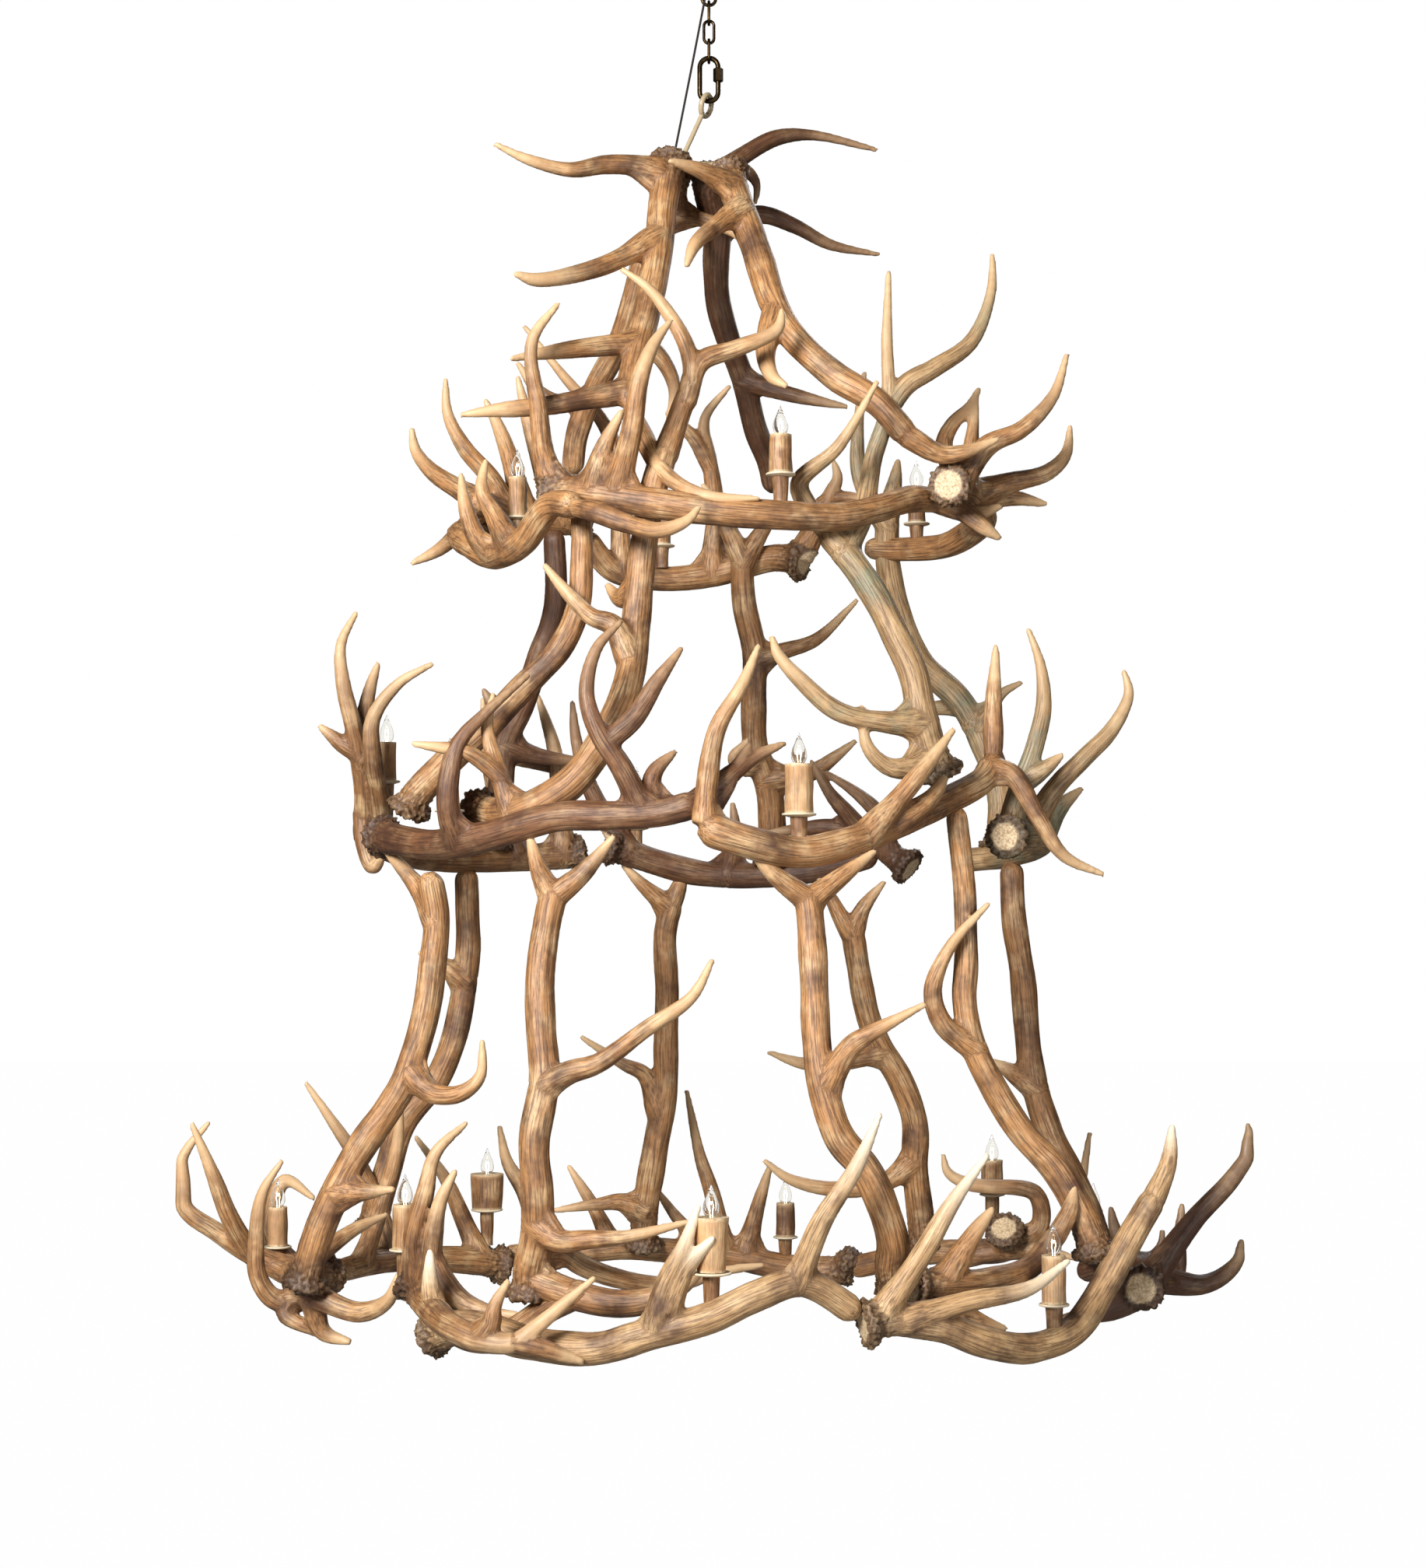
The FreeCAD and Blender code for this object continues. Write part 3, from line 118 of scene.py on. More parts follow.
class ChandelierColours(bpy.types.PropertyGroup):
    """Colours of the finishes, as sRGB hex values."""

    tan: colour_property("Tan antler", "Ridges of most antlers", "#BD8956")
    dark: colour_property("Dark antler", "Ridges of the darkest antlers", "#83593A")
    grey: colour_property("Grey antler", "Ridges of the weathered antlers", "#B08D62")
    pale: colour_property("Pale antler", "Ridges of the sun-bleached antlers", "#C29A6B")
    # The groove colour is the real stain in the grooves and also painted shade in every hollow and fork of the
    # skin.
    groove: colour_property("Groove", "Stain down in the grooves", "#432612")
    # The rub colour is real on the pale patches and a painted highlight on the ridges.
    rub_and_highlight: colour_property("Rubbed patch", "Patches rubbed paler", "#E0BD8E")
    smoke: colour_property("Dark patch", "Patches stained by the ground", "#4C3022")
    tip: colour_property("Tip", "Polished tine tips", "#D0AE84")
    bleached: colour_property("Bleached tip", "Tips of the pale antlers", "#E8D9BF")
    moss: colour_property("Green stain", "Patches of the weathered antlers", "#83846A")
    burr_stain: colour_property("Burr", "Stain between the knobs of a burr", "#3A2617")
    marrow: colour_property("Cut face", "Sawn and shed faces", "#DCC5A0")
    marrow_shadow: colour_property("Cut face pores", "Pores of the sawn and shed faces", "#A98863")
    ivory: colour_property("Dish", "Drip dishes", "#E2D6BE")
    ivory_cloud: colour_property("Dish clouding", "Darker clouds in the dishes", "#C9B48E")
    phenolic: colour_property("Socket", "Lamp sockets", "#16120F")
    phenolic_grit: colour_property("Socket grain", "Mould grain of the sockets", "#2A231E")
    glass: colour_property("Glass", "Bulbs", "#FBFAF6")
    filament: colour_property("Filament", "Tungsten of the filaments", "#F6E8CF")
    glow: colour_property("Glow", "Light of the filaments", "#FFE9C4")
    brass: colour_property("Aged brass", "Chain and canopy", "#4A3A24")
    patina: colour_property("Patina", "Darkened brass in the hollows", "#1C150D")
    lacquered: colour_property("Lacquered brass", "Screw bases of the bulbs", "#C2A25C")
    zinc: colour_property("Zinc", "Ceiling bracket", "#B9BBBE")
    spangle: colour_property("Zinc spangle", "Crystals of the bracket's zinc", "#8F9296")
    cream: colour_property("Cream paint", "Screw eye", "#AD9A7C")
    cream_rub: colour_property("Rubbed cream paint", "Worn places of the screw eye", "#9A8261")
    cord: colour_property("Cord", "Braided supply cord", "#120B08")
    cord_rib: colour_property("Cord rib", "Raised threads of the braid", "#221510")
    floor: colour_property("Floor", "Paint of the floor", "#8E8D8A")


def sizes():
    """The size settings of the scene."""
    return bpy.context.scene.chandelier_sizes


def colours():
    """The colour settings of the scene."""
    return bpy.context.scene.chandelier_colours


# ---------------------------------------------------------------- nodes
def linear(text):
    """Linear colour of an sRGB hex value."""
    values = []
    for i in (1, 3, 5):
        share = int(text[i:i + 2], 16) / 255
        values.append(share / 12.92 if share <= 0.04045 else ((share + 0.055) / 1.055) ** 2.4)
    return (*values, 1.0)


def add(tree, kind, settings=None, inputs=None):
    """A node with its settings, values and links. A node given as a value links its first output."""
    made = tree.nodes.new(kind)
    for name, value in (settings or {}).items():
        setattr(made, name, value)
    for key, value in (inputs or {}).items():
        if isinstance(value, bpy.types.Node):
            value = value.outputs[0]
        if isinstance(value, bpy.types.NodeSocket):
            tree.links.new(value, made.inputs[key])
        else:
            made.inputs[key].default_value = value
    return made


def new_material(name):
    """An empty material and its node tree."""
    made = bpy.data.materials.new(name)
    made.use_nodes = True
    made.node_tree.nodes.clear()
    return made, made.node_tree


def patterned_material(name):
    """An empty material, its node tree and the place on the object that its patterns read."""
    material, tree = new_material(name)
    return material, tree, add(tree, "ShaderNodeTexCoord").outputs["Object"]


def surfaced(material, tree, inputs):
    """The material with one surface, as its shader's inputs say."""
    shader = add(tree, "ShaderNodeBsdfPrincipled", None, inputs)
    add(tree, "ShaderNodeOutputMaterial", None, {"Surface": shader})
    return material


def ranged(low, high, start, end):
    """Inputs of a map range that goes from start at low to end at high."""
    return {"From Min": low, "From Max": high, "To Min": start, "To Max": end}


# Sockets of a colour mix.
FACTOR, FIRST, SECOND = 0, 6, 7
MIXED = 2


def blended(tree, factor, first, second):
    """Output socket of a colour mix. A colour is a socket or an sRGB hex value."""
    first, second = (linear(colour) if isinstance(colour, str) else colour for colour in (first, second))
    mix = add(tree, "ShaderNodeMix", {"data_type": "RGBA"}, {FACTOR: factor, FIRST: first, SECOND: second})
    return mix.outputs[MIXED]


# ---------------------------------------------------------------- materials
# Sizes of the patterns on the real surfaces.
GROOVE_ACROSS = 2.8 * MM
GROOVE_ALONG = 60 * MM
GRAIN_ACROSS = 1.1 * MM
GRAIN_ALONG = 17 * MM
BLOTCH = 50 * MM
SMOKE = 120 * MM
PORE = 1.1 * MM
SPONGE = 4 * MM
RESIN_CLOUD = 9 * MM
PHENOLIC_GRIT = 0.8 * MM
GLASS_RIPPLE = 14 * MM
PATINA_CLOUD = 7 * MM
ZINC_SPANGLE = 3 * MM
ENAMEL_SAG = 10 * MM
BRAID = 9 * MM
# How a pattern's value is spread: low, high, and what it gives at each.
STAIN_RANGE = (0.56, 0.80, 1.0, 0.0)
RUBBED_RANGE = (0.45, 0.68, 0.0, 0.8)
SMOKE_RANGE = (0.48, 0.66, 0.0, 0.85)
SPECK_RANGE = (0.35, 0.7, 0.55, 1.0)
PIT_RANGE = (0.42, 0.62, 0.0, 1.0)
ANTLER_GLOSS = (0.5, 1.0, 0.66, 0.44)
ENAMEL_RUB = (0.56, 0.74, 0.0, 0.7)
# How much the fine streaks count beside the grooves; how much a hollow is stained and darkened with painted shade;
# and how much a hollow is kept from the rub colour, which a ridge takes as real rubbing and as a painted
# highlight.
STREAK_SHARE = 0.45
HOLLOW_STAIN_AND_SHADE = 0.6
RIDGE_RUB_AND_HIGHLIGHT = -0.7
FILAMENT_GLOW = 9.0


def shed_antler(name, ridge_text, patch_text, tip_text, groove_share, tip_share):
    """Shed antler: solid bone with a horny skin, grown with grooves along the beam.
    Brown stain and painted shade lie in the grooves and hollows, the ridges are paler from real rubbing and a
    painted highlight, the tips are polished and the burr is dark."""
    material, tree, place = patterned_material(name)
    tone = colours()
    grain = add(tree, "ShaderNodeAttribute", {"attribute_name": "grain"}).outputs["Vector"]
    wear = add(tree, "ShaderNodeAttribute", {"attribute_name": "wear"}).outputs["Vector"]
    tip, burr, cut = add(tree, "ShaderNodeSeparateXYZ", None, {0: wear}).outputs
    shade = add(tree, "ShaderNodeAttribute", {"attribute_name": "shade"}).outputs["Fac"]
    hollow = add(tree, "ShaderNodeAttribute", {"attribute_name": "hollow"}).outputs["Fac"]

    patterns = []
    for across, along, detail, rough in ((GROOVE_ACROSS, GROOVE_ALONG, 3.0, 0.55),
                                         (GRAIN_ACROSS, GRAIN_ALONG, 4.0, 0.6)):
        drawn_out = add(tree, "ShaderNodeMapping", None,
                        {"Vector": grain, "Scale": (1 / across, 1 / across, 1 / along)})
        patterns.append(add(tree, "ShaderNodeTexNoise", None,
                            {"Vector": drawn_out, "Scale": 1.0, "Detail": detail, "Roughness": rough}))
    for size, detail, rough in ((BLOTCH, 3.0, 0.6), (SMOKE, 4.0, 0.7), (PORE, 2.0, 0.6), (SPONGE, 4.0, 0.7)):
        patterns.append(add(tree, "ShaderNodeTexNoise", None,
                            {"Vector": place, "Scale": 1 / size, "Detail": detail, "Roughness": rough}))
    grooves, streaks, blotches, clouds, pores, sponge = patterns

    relief = add(tree, "ShaderNodeMath", {"operation": "MULTIPLY_ADD"},
                 {0: streaks, 1: STREAK_SHARE, 2: grooves})
    stain = add(tree, "ShaderNodeMapRange", None, {"Value": relief, **ranged(*STAIN_RANGE)})
    worn = add(tree, "ShaderNodeMath", {"operation": "SUBTRACT", "use_clamp": True}, {0: 1.0, 1: tip})
    # Painted shade: the hollows and forks of the skin are darkened towards the groove colour, on top of the real
    # stain.
    stain_and_hollow_shade = add(tree, "ShaderNodeMath", {"operation": "MULTIPLY_ADD", "use_clamp": True},
               {0: hollow, 1: HOLLOW_STAIN_AND_SHADE, 2: stain})
    stained = add(tree, "ShaderNodeMath", {"operation": "MULTIPLY"}, {0: stain_and_hollow_shade, 1: worn})
    depth = add(tree, "ShaderNodeMath", {"operation": "MULTIPLY"}, {0: stained, 1: groove_share})

    ridge = blended(tree, shade, ridge_text, tone.groove)
    patch = add(tree, "ShaderNodeMapRange", None, {"Value": blotches, **ranged(*RUBBED_RANGE)})
    # Painted highlight: the ridges are lightened towards the rub colour, on top of the real rubbed patches.
    raised = add(tree, "ShaderNodeMath", {"operation": "MULTIPLY_ADD", "use_clamp": True},
                 {0: hollow, 1: RIDGE_RUB_AND_HIGHLIGHT, 2: patch})
    bright = add(tree, "ShaderNodeMath", {"operation": "MULTIPLY"}, {0: raised, 1: tip_share})
    rub_and_highlight = blended(tree, bright, ridge, tone.rub_and_highlight)
    stained_patch = add(tree, "ShaderNodeMapRange", None, {"Value": clouds, **ranged(*SMOKE_RANGE)})
    smoke = add(tree, "ShaderNodeMath", {"operation": "MULTIPLY"}, {0: stained_patch, 1: worn})
    warm = blended(tree, smoke, rub_and_highlight, patch_text)
    grooved = blended(tree, depth, warm, tone.groove)
    polish = add(tree, "ShaderNodeMath", {"operation": "MULTIPLY"}, {0: tip, 1: tip_share})
    tipped = blended(tree, polish, grooved, tip_text)
    speck = add(tree, "ShaderNodeMapRange", None, {"Value": pores, **ranged(*SPECK_RANGE)})
    crusty = add(tree, "ShaderNodeMath", {"operation": "MULTIPLY"}, {0: burr, 1: speck})
    burred = blended(tree, crusty, tipped, tone.burr_stain)
    pitted = add(tree, "ShaderNodeMapRange", None, {"Value": sponge, **ranged(*PIT_RANGE)})
    faced = blended(tree, cut, burred, blended(tree, pitted, tone.marrow, tone.marrow_shadow))

    gloss = add(tree, "ShaderNodeMapRange", None, {"Value": relief, **ranged(*ANTLER_GLOSS)})
    height = add(tree, "ShaderNodeMath", {"operation": "MULTIPLY"}, {0: relief, 1: worn})
    bump = add(tree, "ShaderNodeBump", None, {"Height": height, "Strength": 0.55, "Distance": 1.6 * MM})
    return surfaced(material, tree, {"Base Color": faced, "Roughness": gloss, "IOR": 1.54, "Normal": bump})


def ivory_resin():
    """Cast resin dish, ivory coloured: faint clouding and a soft sheen."""
    material, tree, place = patterned_material("ivory_cast_resin")
    cloud = add(tree, "ShaderNodeTexNoise", None, {"Vector": place, "Scale": 1 / RESIN_CLOUD, "Detail": 4.0})
    colour = blended(tree, cloud, colours().ivory, colours().ivory_cloud)
    bump = add(tree, "ShaderNodeBump", None, {"Height": cloud, "Strength": 0.25, "Distance": 0.6 * MM})
    return surfaced(material, tree, {"Base Color": colour, "Roughness": 0.38, "IOR": 1.5, "Normal": bump})


def socket_phenolic():
    """Moulded black phenolic of the lamp sockets: dull, with a fine mould grain."""
    material, tree, place = patterned_material("black_phenolic")
    grit = add(tree, "ShaderNodeTexNoise", None, {"Vector": place, "Scale": 1 / PHENOLIC_GRIT, "Detail": 2.0})
    colour = blended(tree, grit, colours().phenolic, colours().phenolic_grit)
    return surfaced(material, tree, {"Base Color": colour, "Roughness": 0.6, "IOR": 1.55})


def blown_glass():
    """Clear blown soda-lime glass of the bulbs: thin, smooth and without colour."""
    material, tree, place = patterned_material("blown_soda_lime_glass")
    ripple = add(tree, "ShaderNodeTexNoise", None, {"Vector": place, "Scale": 1 / GLASS_RIPPLE, "Detail": 1.0})
    bump = add(tree, "ShaderNodeBump", None, {"Height": ripple, "Strength": 0.08, "Distance": 0.4 * MM})
    return surfaced(material, tree, {"Base Color": linear(colours().glass), "Roughness": 0.02, "IOR": 1.45,
                                     "Transmission Weight": 1.0, "Normal": bump})


def glowing_filament():
    """Tungsten filament, lit: a warm white point in the glass."""
    material, tree = new_material("lit_tungsten_filament")
    tone = colours()
    return surfaced(material, tree, {"Base Color": linear(tone.filament), "Roughness": 0.4,
                                     "Emission Color": linear(tone.glow), "Emission Strength": FILAMENT_GLOW})


def brass(name, base_text, patina_share, rough):
    """Plated brass, aged: bright where hands rub it and dark with patina elsewhere."""
    material, tree, place = patterned_material(name)
    cloud = add(tree, "ShaderNodeTexNoise", None,
                {"Vector": place, "Scale": 1 / PATINA_CLOUD, "Detail": 5.0, "Roughness": 0.65})
    share = add(tree, "ShaderNodeMapRange", None, {"Value": cloud, **ranged(0.35, 0.68, 0.0, patina_share)})
    colour = blended(tree, share, base_text, colours().patina)
    gloss = add(tree, "ShaderNodeMapRange", None, {"Value": cloud, **ranged(0.3, 0.7, rough, rough + 0.12)})
    bump = add(tree, "ShaderNodeBump", None, {"Height": cloud, "Strength": 0.12, "Distance": 0.3 * MM})
    return surfaced(material, tree, {"Base Color": colour, "Metallic": 1.0, "Roughness": gloss, "Normal": bump})


def zinc_plate():
    """Pressed steel with a zinc plate: cool grey with a soft spangle."""
    material, tree, place = patterned_material("zinc_plated_steel")
    spangle = add(tree, "ShaderNodeTexVoronoi", None, {"Vector": place, "Scale": 1 / ZINC_SPANGLE})
    colour = blended(tree, spangle.outputs["Distance"], colours().zinc, colours().spangle)
    return surfaced(material, tree, {"Base Color": colour, "Metallic": 1.0, "Roughness": 0.42})


def cream_enamel():
    """Thick cream enamel brushed over the steel screw eye: glossy, with soft sags and a few brown rubs."""
    material, tree, place = patterned_material("cream_brushed_enamel")
    sag = add(tree, "ShaderNodeTexNoise", None, {"Vector": place, "Scale": 1 / ENAMEL_SAG, "Detail": 3.0})
    rub = add(tree, "ShaderNodeMapRange", None, {"Value": sag, **ranged(*ENAMEL_RUB)})
    colour = blended(tree, rub, colours().cream, colours().cream_rub)
    bump = add(tree, "ShaderNodeBump", None, {"Height": sag, "Strength": 0.3, "Distance": 0.8 * MM})
    return surfaced(material, tree, {"Base Color": colour, "Roughness": 0.24, "IOR": 1.5, "Normal": bump})


def braided_cord():
    """Rayon braid over the cord's wires: brown, dull, with a fine diagonal weave."""
    material, tree, place = patterned_material("braided_rayon_cord")
    weave = add(tree, "ShaderNodeTexWave", {"bands_direction": "DIAGONAL"},
                {"Vector": place, "Scale": 1 / BRAID, "Distortion": 2.0}).outputs["Fac"]
    colour = blended(tree, weave, colours().cord, colours().cord_rib)
    bump = add(tree, "ShaderNodeBump", None, {"Height": weave, "Strength": 0.5, "Distance": 0.4 * MM})
    return surfaced(material, tree, {"Base Color": colour, "Roughness": 0.85, "Normal": bump})


def aged_brass():
    """Patinated brass of the chain and the canopy, made once."""
    name = "patinated_brass"
    return bpy.data.materials.get(name) or brass(name, colours().brass, patina_share=0.85, rough=0.3)


# ---------------------------------------------------------------- geometry node trees
def round_stock(tree, given):
    """A round bar along a curve, as thick as the curve's radius."""
    ring = add(tree, "GeometryNodeCurvePrimitiveCircle", None, {"Resolution": given["Sides"], "Radius": 1.0})
    thickness = add(tree, "GeometryNodeInputRadius")
    return add(tree, "GeometryNodeCurveToMesh", None,
               {"Curve": given["Geometry"], "Profile Curve": ring.outputs["Curve"], "Scale": thickness,
                "Fill Caps": True})


def stand_on_points(tree, given):
    """A copy of one piece on every point, as large as the point's size."""
    piece = add(tree, "GeometryNodeObjectInfo", None, {"Object": given["Piece"]})
    width = add(tree, "GeometryNodeInputNamedAttribute", {"data_type": "FLOAT_VECTOR"}, {"Name": "size"})
    return add(tree, "GeometryNodeInstanceOnPoints", None,
               {"Points": given["Geometry"], "Instance": piece.outputs["Geometry"],
                "Scale": width.outputs["Attribute"]})


# The input beside the geometry and the material that each tree has, and its kind.
OWN_INPUTS = {round_stock: ("Sides", "Int"), stand_on_points: ("Piece", "Object")}


def tree_of(shape):
    """Node tree that makes a shape real and gives it its material, made once."""
    name = shape.__name__
    if name in bpy.data.node_groups:
        return bpy.data.node_groups[name]
    tree = bpy.data.node_groups.new(name, "GeometryNodeTree")
    for label, kind in (("Geometry", "Geometry"), OWN_INPUTS[shape], ("Material", "Material")):
        tree.interface.new_socket(label, in_out="INPUT", socket_type="NodeSocket" + kind)
    tree.interface.new_socket("Geometry", in_out="OUTPUT", socket_type="NodeSocketGeometry")
    given = add(tree, "NodeGroupInput").outputs
    real = add(tree, "GeometryNodeRealizeInstances", None, {0: shape(tree, given)})
    finished = add(tree, "GeometryNodeSetMaterial", None, {"Geometry": real, "Material": given["Material"]})
    add(tree, "NodeGroupOutput", None, {"Geometry": finished})
    return tree


def run_tree(thing, shape, values):
    """Puts a shape's tree on an object as a modifier and sets its named inputs."""
    tree = tree_of(shape)
    modifier = thing.modifiers.new(tree.name, "NODES")
    modifier.node_group = tree
    for item in tree.interface.items_tree:
        if item.in_out == "INPUT" and item.name in values:
            modifier[item.identifier] = values[item.name]


def baked(thing, name):
    """Plain mesh object of what an object's modifiers make. The object itself goes."""
    seen = thing.evaluated_get(bpy.context.evaluated_depsgraph_get())
    mesh = bpy.data.meshes.new_from_object(seen)
    mesh.name = name
    bpy.data.objects.remove(thing)
    made = bpy.data.objects.new(name, mesh)
    bpy.context.scene.collection.objects.link(made)
    return made


def link(name, data):
    """A new object in the scene."""
    made = bpy.data.objects.new(name, data)
    bpy.context.scene.collection.objects.link(made)
    return made


def smooth(thing):
    """Shades every face smoothly."""
    thing.data.shade_smooth()
    return thing


def slot_of(node):
    """The record's material slot of a node."""
    for part in frame["record"]["subparts"]:
        if part["node"] == node:
            return part["material_slot"]
    raise ValueError("no node is called %s" % node)


def stands_for(thing, node, body=BODY):
    """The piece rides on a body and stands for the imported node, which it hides."""
    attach(thing, body)
    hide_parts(node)
    return thing


def curve_of(name, lines, closed=False):
    """Curve object with one straight-run line for each list of places and radii."""
    curve = bpy.data.curves.new(name, "CURVE")
    curve.dimensions = "3D"
    for places, radii in lines:
        line = curve.splines.new("POLY")
        line.points.add(len(places) - 1)
        for point, place, radius in zip(line.points, places, radii):
            point.co = (*place, 1.0)
            point.radius = radius
        line.use_cyclic_u = closed
    return link(name, curve)


def bar(name, lines, sides, material, closed=False):
    """Round bar along each line."""
    thing = curve_of(name, lines, closed)
    run_tree(thing, round_stock, {"Sides": sides, "Material": material})
    return smooth(baked(thing, name))


def spun(name, outline, sides, material=None, flutes=0, flute_depth=0.0):
    """Mesh of an outline of (radius, height) turned about Z, closed where the radius is nought, and fluted."""
    shape = bmesh.new()
    rings = []
    for radius, height in outline:
        if radius == 0:
            rings.append([shape.verts.new((0, 0, height))])
            continue
        ring = []
        for k in range(sides):
            turn = 2 * math.pi * k / sides
            reach = radius - flute_depth * (0.5 + 0.5 * math.cos(flutes * turn)) if flutes else radius
            ring.append(shape.verts.new((reach * math.cos(turn), reach * math.sin(turn), height)))
        rings.append(ring)
    for low, high in zip(rings, rings[1:]):
        for k in range(sides):
            after = (k + 1) % sides
            if len(low) == 1:
                shape.faces.new((low[0], high[after], high[k]))
            elif len(high) == 1:
                shape.faces.new((low[k], low[after], high[0]))
            else:
                shape.faces.new((low[k], low[after], high[after], high[k]))
    if outline[0] == outline[-1]:
        bmesh.ops.remove_doubles(shape, verts=shape.verts, dist=1e-6)
    bmesh.ops.recalc_face_normals(shape, faces=shape.faces)
    mesh = bpy.data.meshes.new(name)
    shape.to_mesh(mesh)
    shape.free()
    if material:
        mesh.materials.append(material)
    return link(name, mesh)


def moved(thing, place):
    """Moves the mesh itself, so the object stays at the origin."""
    for vertex in thing.data.vertices:
        vertex.co += Vector(place)
    return thing


# ---------------------------------------------------------------- laying the antlers out
# In millimetres: how far off the camera stands, the height of the eye line, and the set-back of the antlers.
VIEW_DISTANCE = 4600
EYE_LEVEL = -1680.3
BALANCE = 28


def laid(x, z, y):
    """Place of a point drawn on the front elevation, in millimetres, set back and spread for its depth."""
    y += BALANCE
    spread = 1 + y / VIEW_DISTANCE
    return Vector((x * spread, y, EYE_LEVEL + z * spread)) * MM


def follow(points, widths, step):
    """Places and radii close together on a smooth line through the points."""
    knots = [points[0] * 2 - points[1], *points, points[-1] * 2 - points[-2]]
    last = len(points) - 1
    places = []
    radii = []
    for i in range(last):
        p0, p1, p2, p3 = knots[i:i + 4]
        t1 = math.sqrt((p1 - p0).length)
        t2 = t1 + math.sqrt((p2 - p1).length)
        t3 = t2 + math.sqrt((p3 - p2).length)
        count = max(2, round((p2 - p1).length / step))
        for k in range(count + (i == last - 1)):
            t = t1 + (t2 - t1) * k / count
            a1 = p0 * ((t1 - t) / t1) + p1 * (t / t1)
            a2 = p1 * ((t2 - t) / (t2 - t1)) + p2 * ((t - t1) / (t2 - t1))
            a3 = p2 * ((t3 - t) / (t3 - t2)) + p3 * ((t - t2) / (t3 - t2))
            b1 = a1 * ((t2 - t) / t2) + a2 * (t / t2)
            b2 = a2 * ((t3 - t) / (t3 - t1)) + a3 * ((t - t1) / (t3 - t1))
            places.append(b1 * ((t2 - t) / (t2 - t1)) + b2 * ((t - t1) / (t2 - t1)))
            radii.append(widths((i + k / count) / last))
    return places, radii


BEAM, TINE, BURR, WEB = range(4)
# A burr's outline: shares of its thickness along the beam, and of its radius.
BURR_OUTLINE = ((-0.15, 0.66), (-0.02, 0.9), (0.2, 1.0), (0.5, 0.9), (1.0, 0.62))
# How long a tine stays stout before it tapers to its tip's radius, and how blunt a limb's end is.
TINE_FULLNESS = 2.0
TIP_RADIUS = 4.4 * MM
BLUNT = 0.45
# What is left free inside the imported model's box for the pearls and the grooves.
BOX_MARGIN = 4 * MM
# A tine's root, in radii of the limb that carries it: how far its flare reaches, and the webs to both sides.
FLARE_REACH = 1.7
WEB_FOOT = 1.9
WEB_TOP = 2.4
WEB_SINK = 0.45
WEB_RADIUS = 0.42
LIMB_STEP = 6 * MM
LIMB_SIDES = 20
# How much a limb swells and shrinks, over what length, and what sets each tine's swells and grain apart.
WOBBLE = 0.07
WOBBLE_LENGTH = 60 * MM
WOBBLE_TURN = 3.7
GRAIN_TURN = 0.4

ANTLERS = {}


def kept_inside(places, radii):
    """The places moved inwards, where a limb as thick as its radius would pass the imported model's box."""
    low, high = CAD_BOX
    made = []
    for place, radius in zip(places, radii):
        spare = radius + BOX_MARGIN
        made.append(Vector([min(max(place[i], low[i] + spare), high[i] - spare) for i in range(3)]))
    return made


def rounded_ends(places, radii, at_start):
    """The radii drawn in over the last of a limb, and over its first where no burr stands there."""
    made = []
    for place, radius in zip(places, radii):
        ends = [places[-1], places[0]] if at_start else [places[-1]]
        near = min((place - end).length for end in ends) / radius
        made.append(radius * math.sqrt(max(1 - max(1 - near, 0) ** 2, BLUNT ** 2)))
    return made


def carried_by(limbs, start):
    """The limb that a tine leaves and the place along it, as numbers."""
    spots = [((place - start).length / radius, carrier, at)
             for carrier, (kind, places, radii, _) in enumerate(limbs) if kind in (BEAM, TINE)
             for at, (place, radius) in enumerate(zip(places, radii))]
    return min(spots)[1:]


def webs_of(stem, at, tine, stock):
    """Webs that fill both corners between a stem and a tine, so that the fork is hollowed softly."""
    made = []
    top = tine[min(round(WEB_TOP * stock / LIMB_STEP), len(tine) - 1)]
    for way in (-1, 1):
        foot_at = at + way * round(WEB_FOOT * stock / LIMB_STEP)
        if 0 <= foot_at < len(stem):
            foot = stem[foot_at]
            middle = tine[0] + (foot + top - 2 * tine[0]) * WEB_SINK
            places, radii = follow([foot, middle, top], lambda share: WEB_RADIUS * stock, LIMB_STEP)
            made.append((WEB, places, radii, 0.0))
    return made


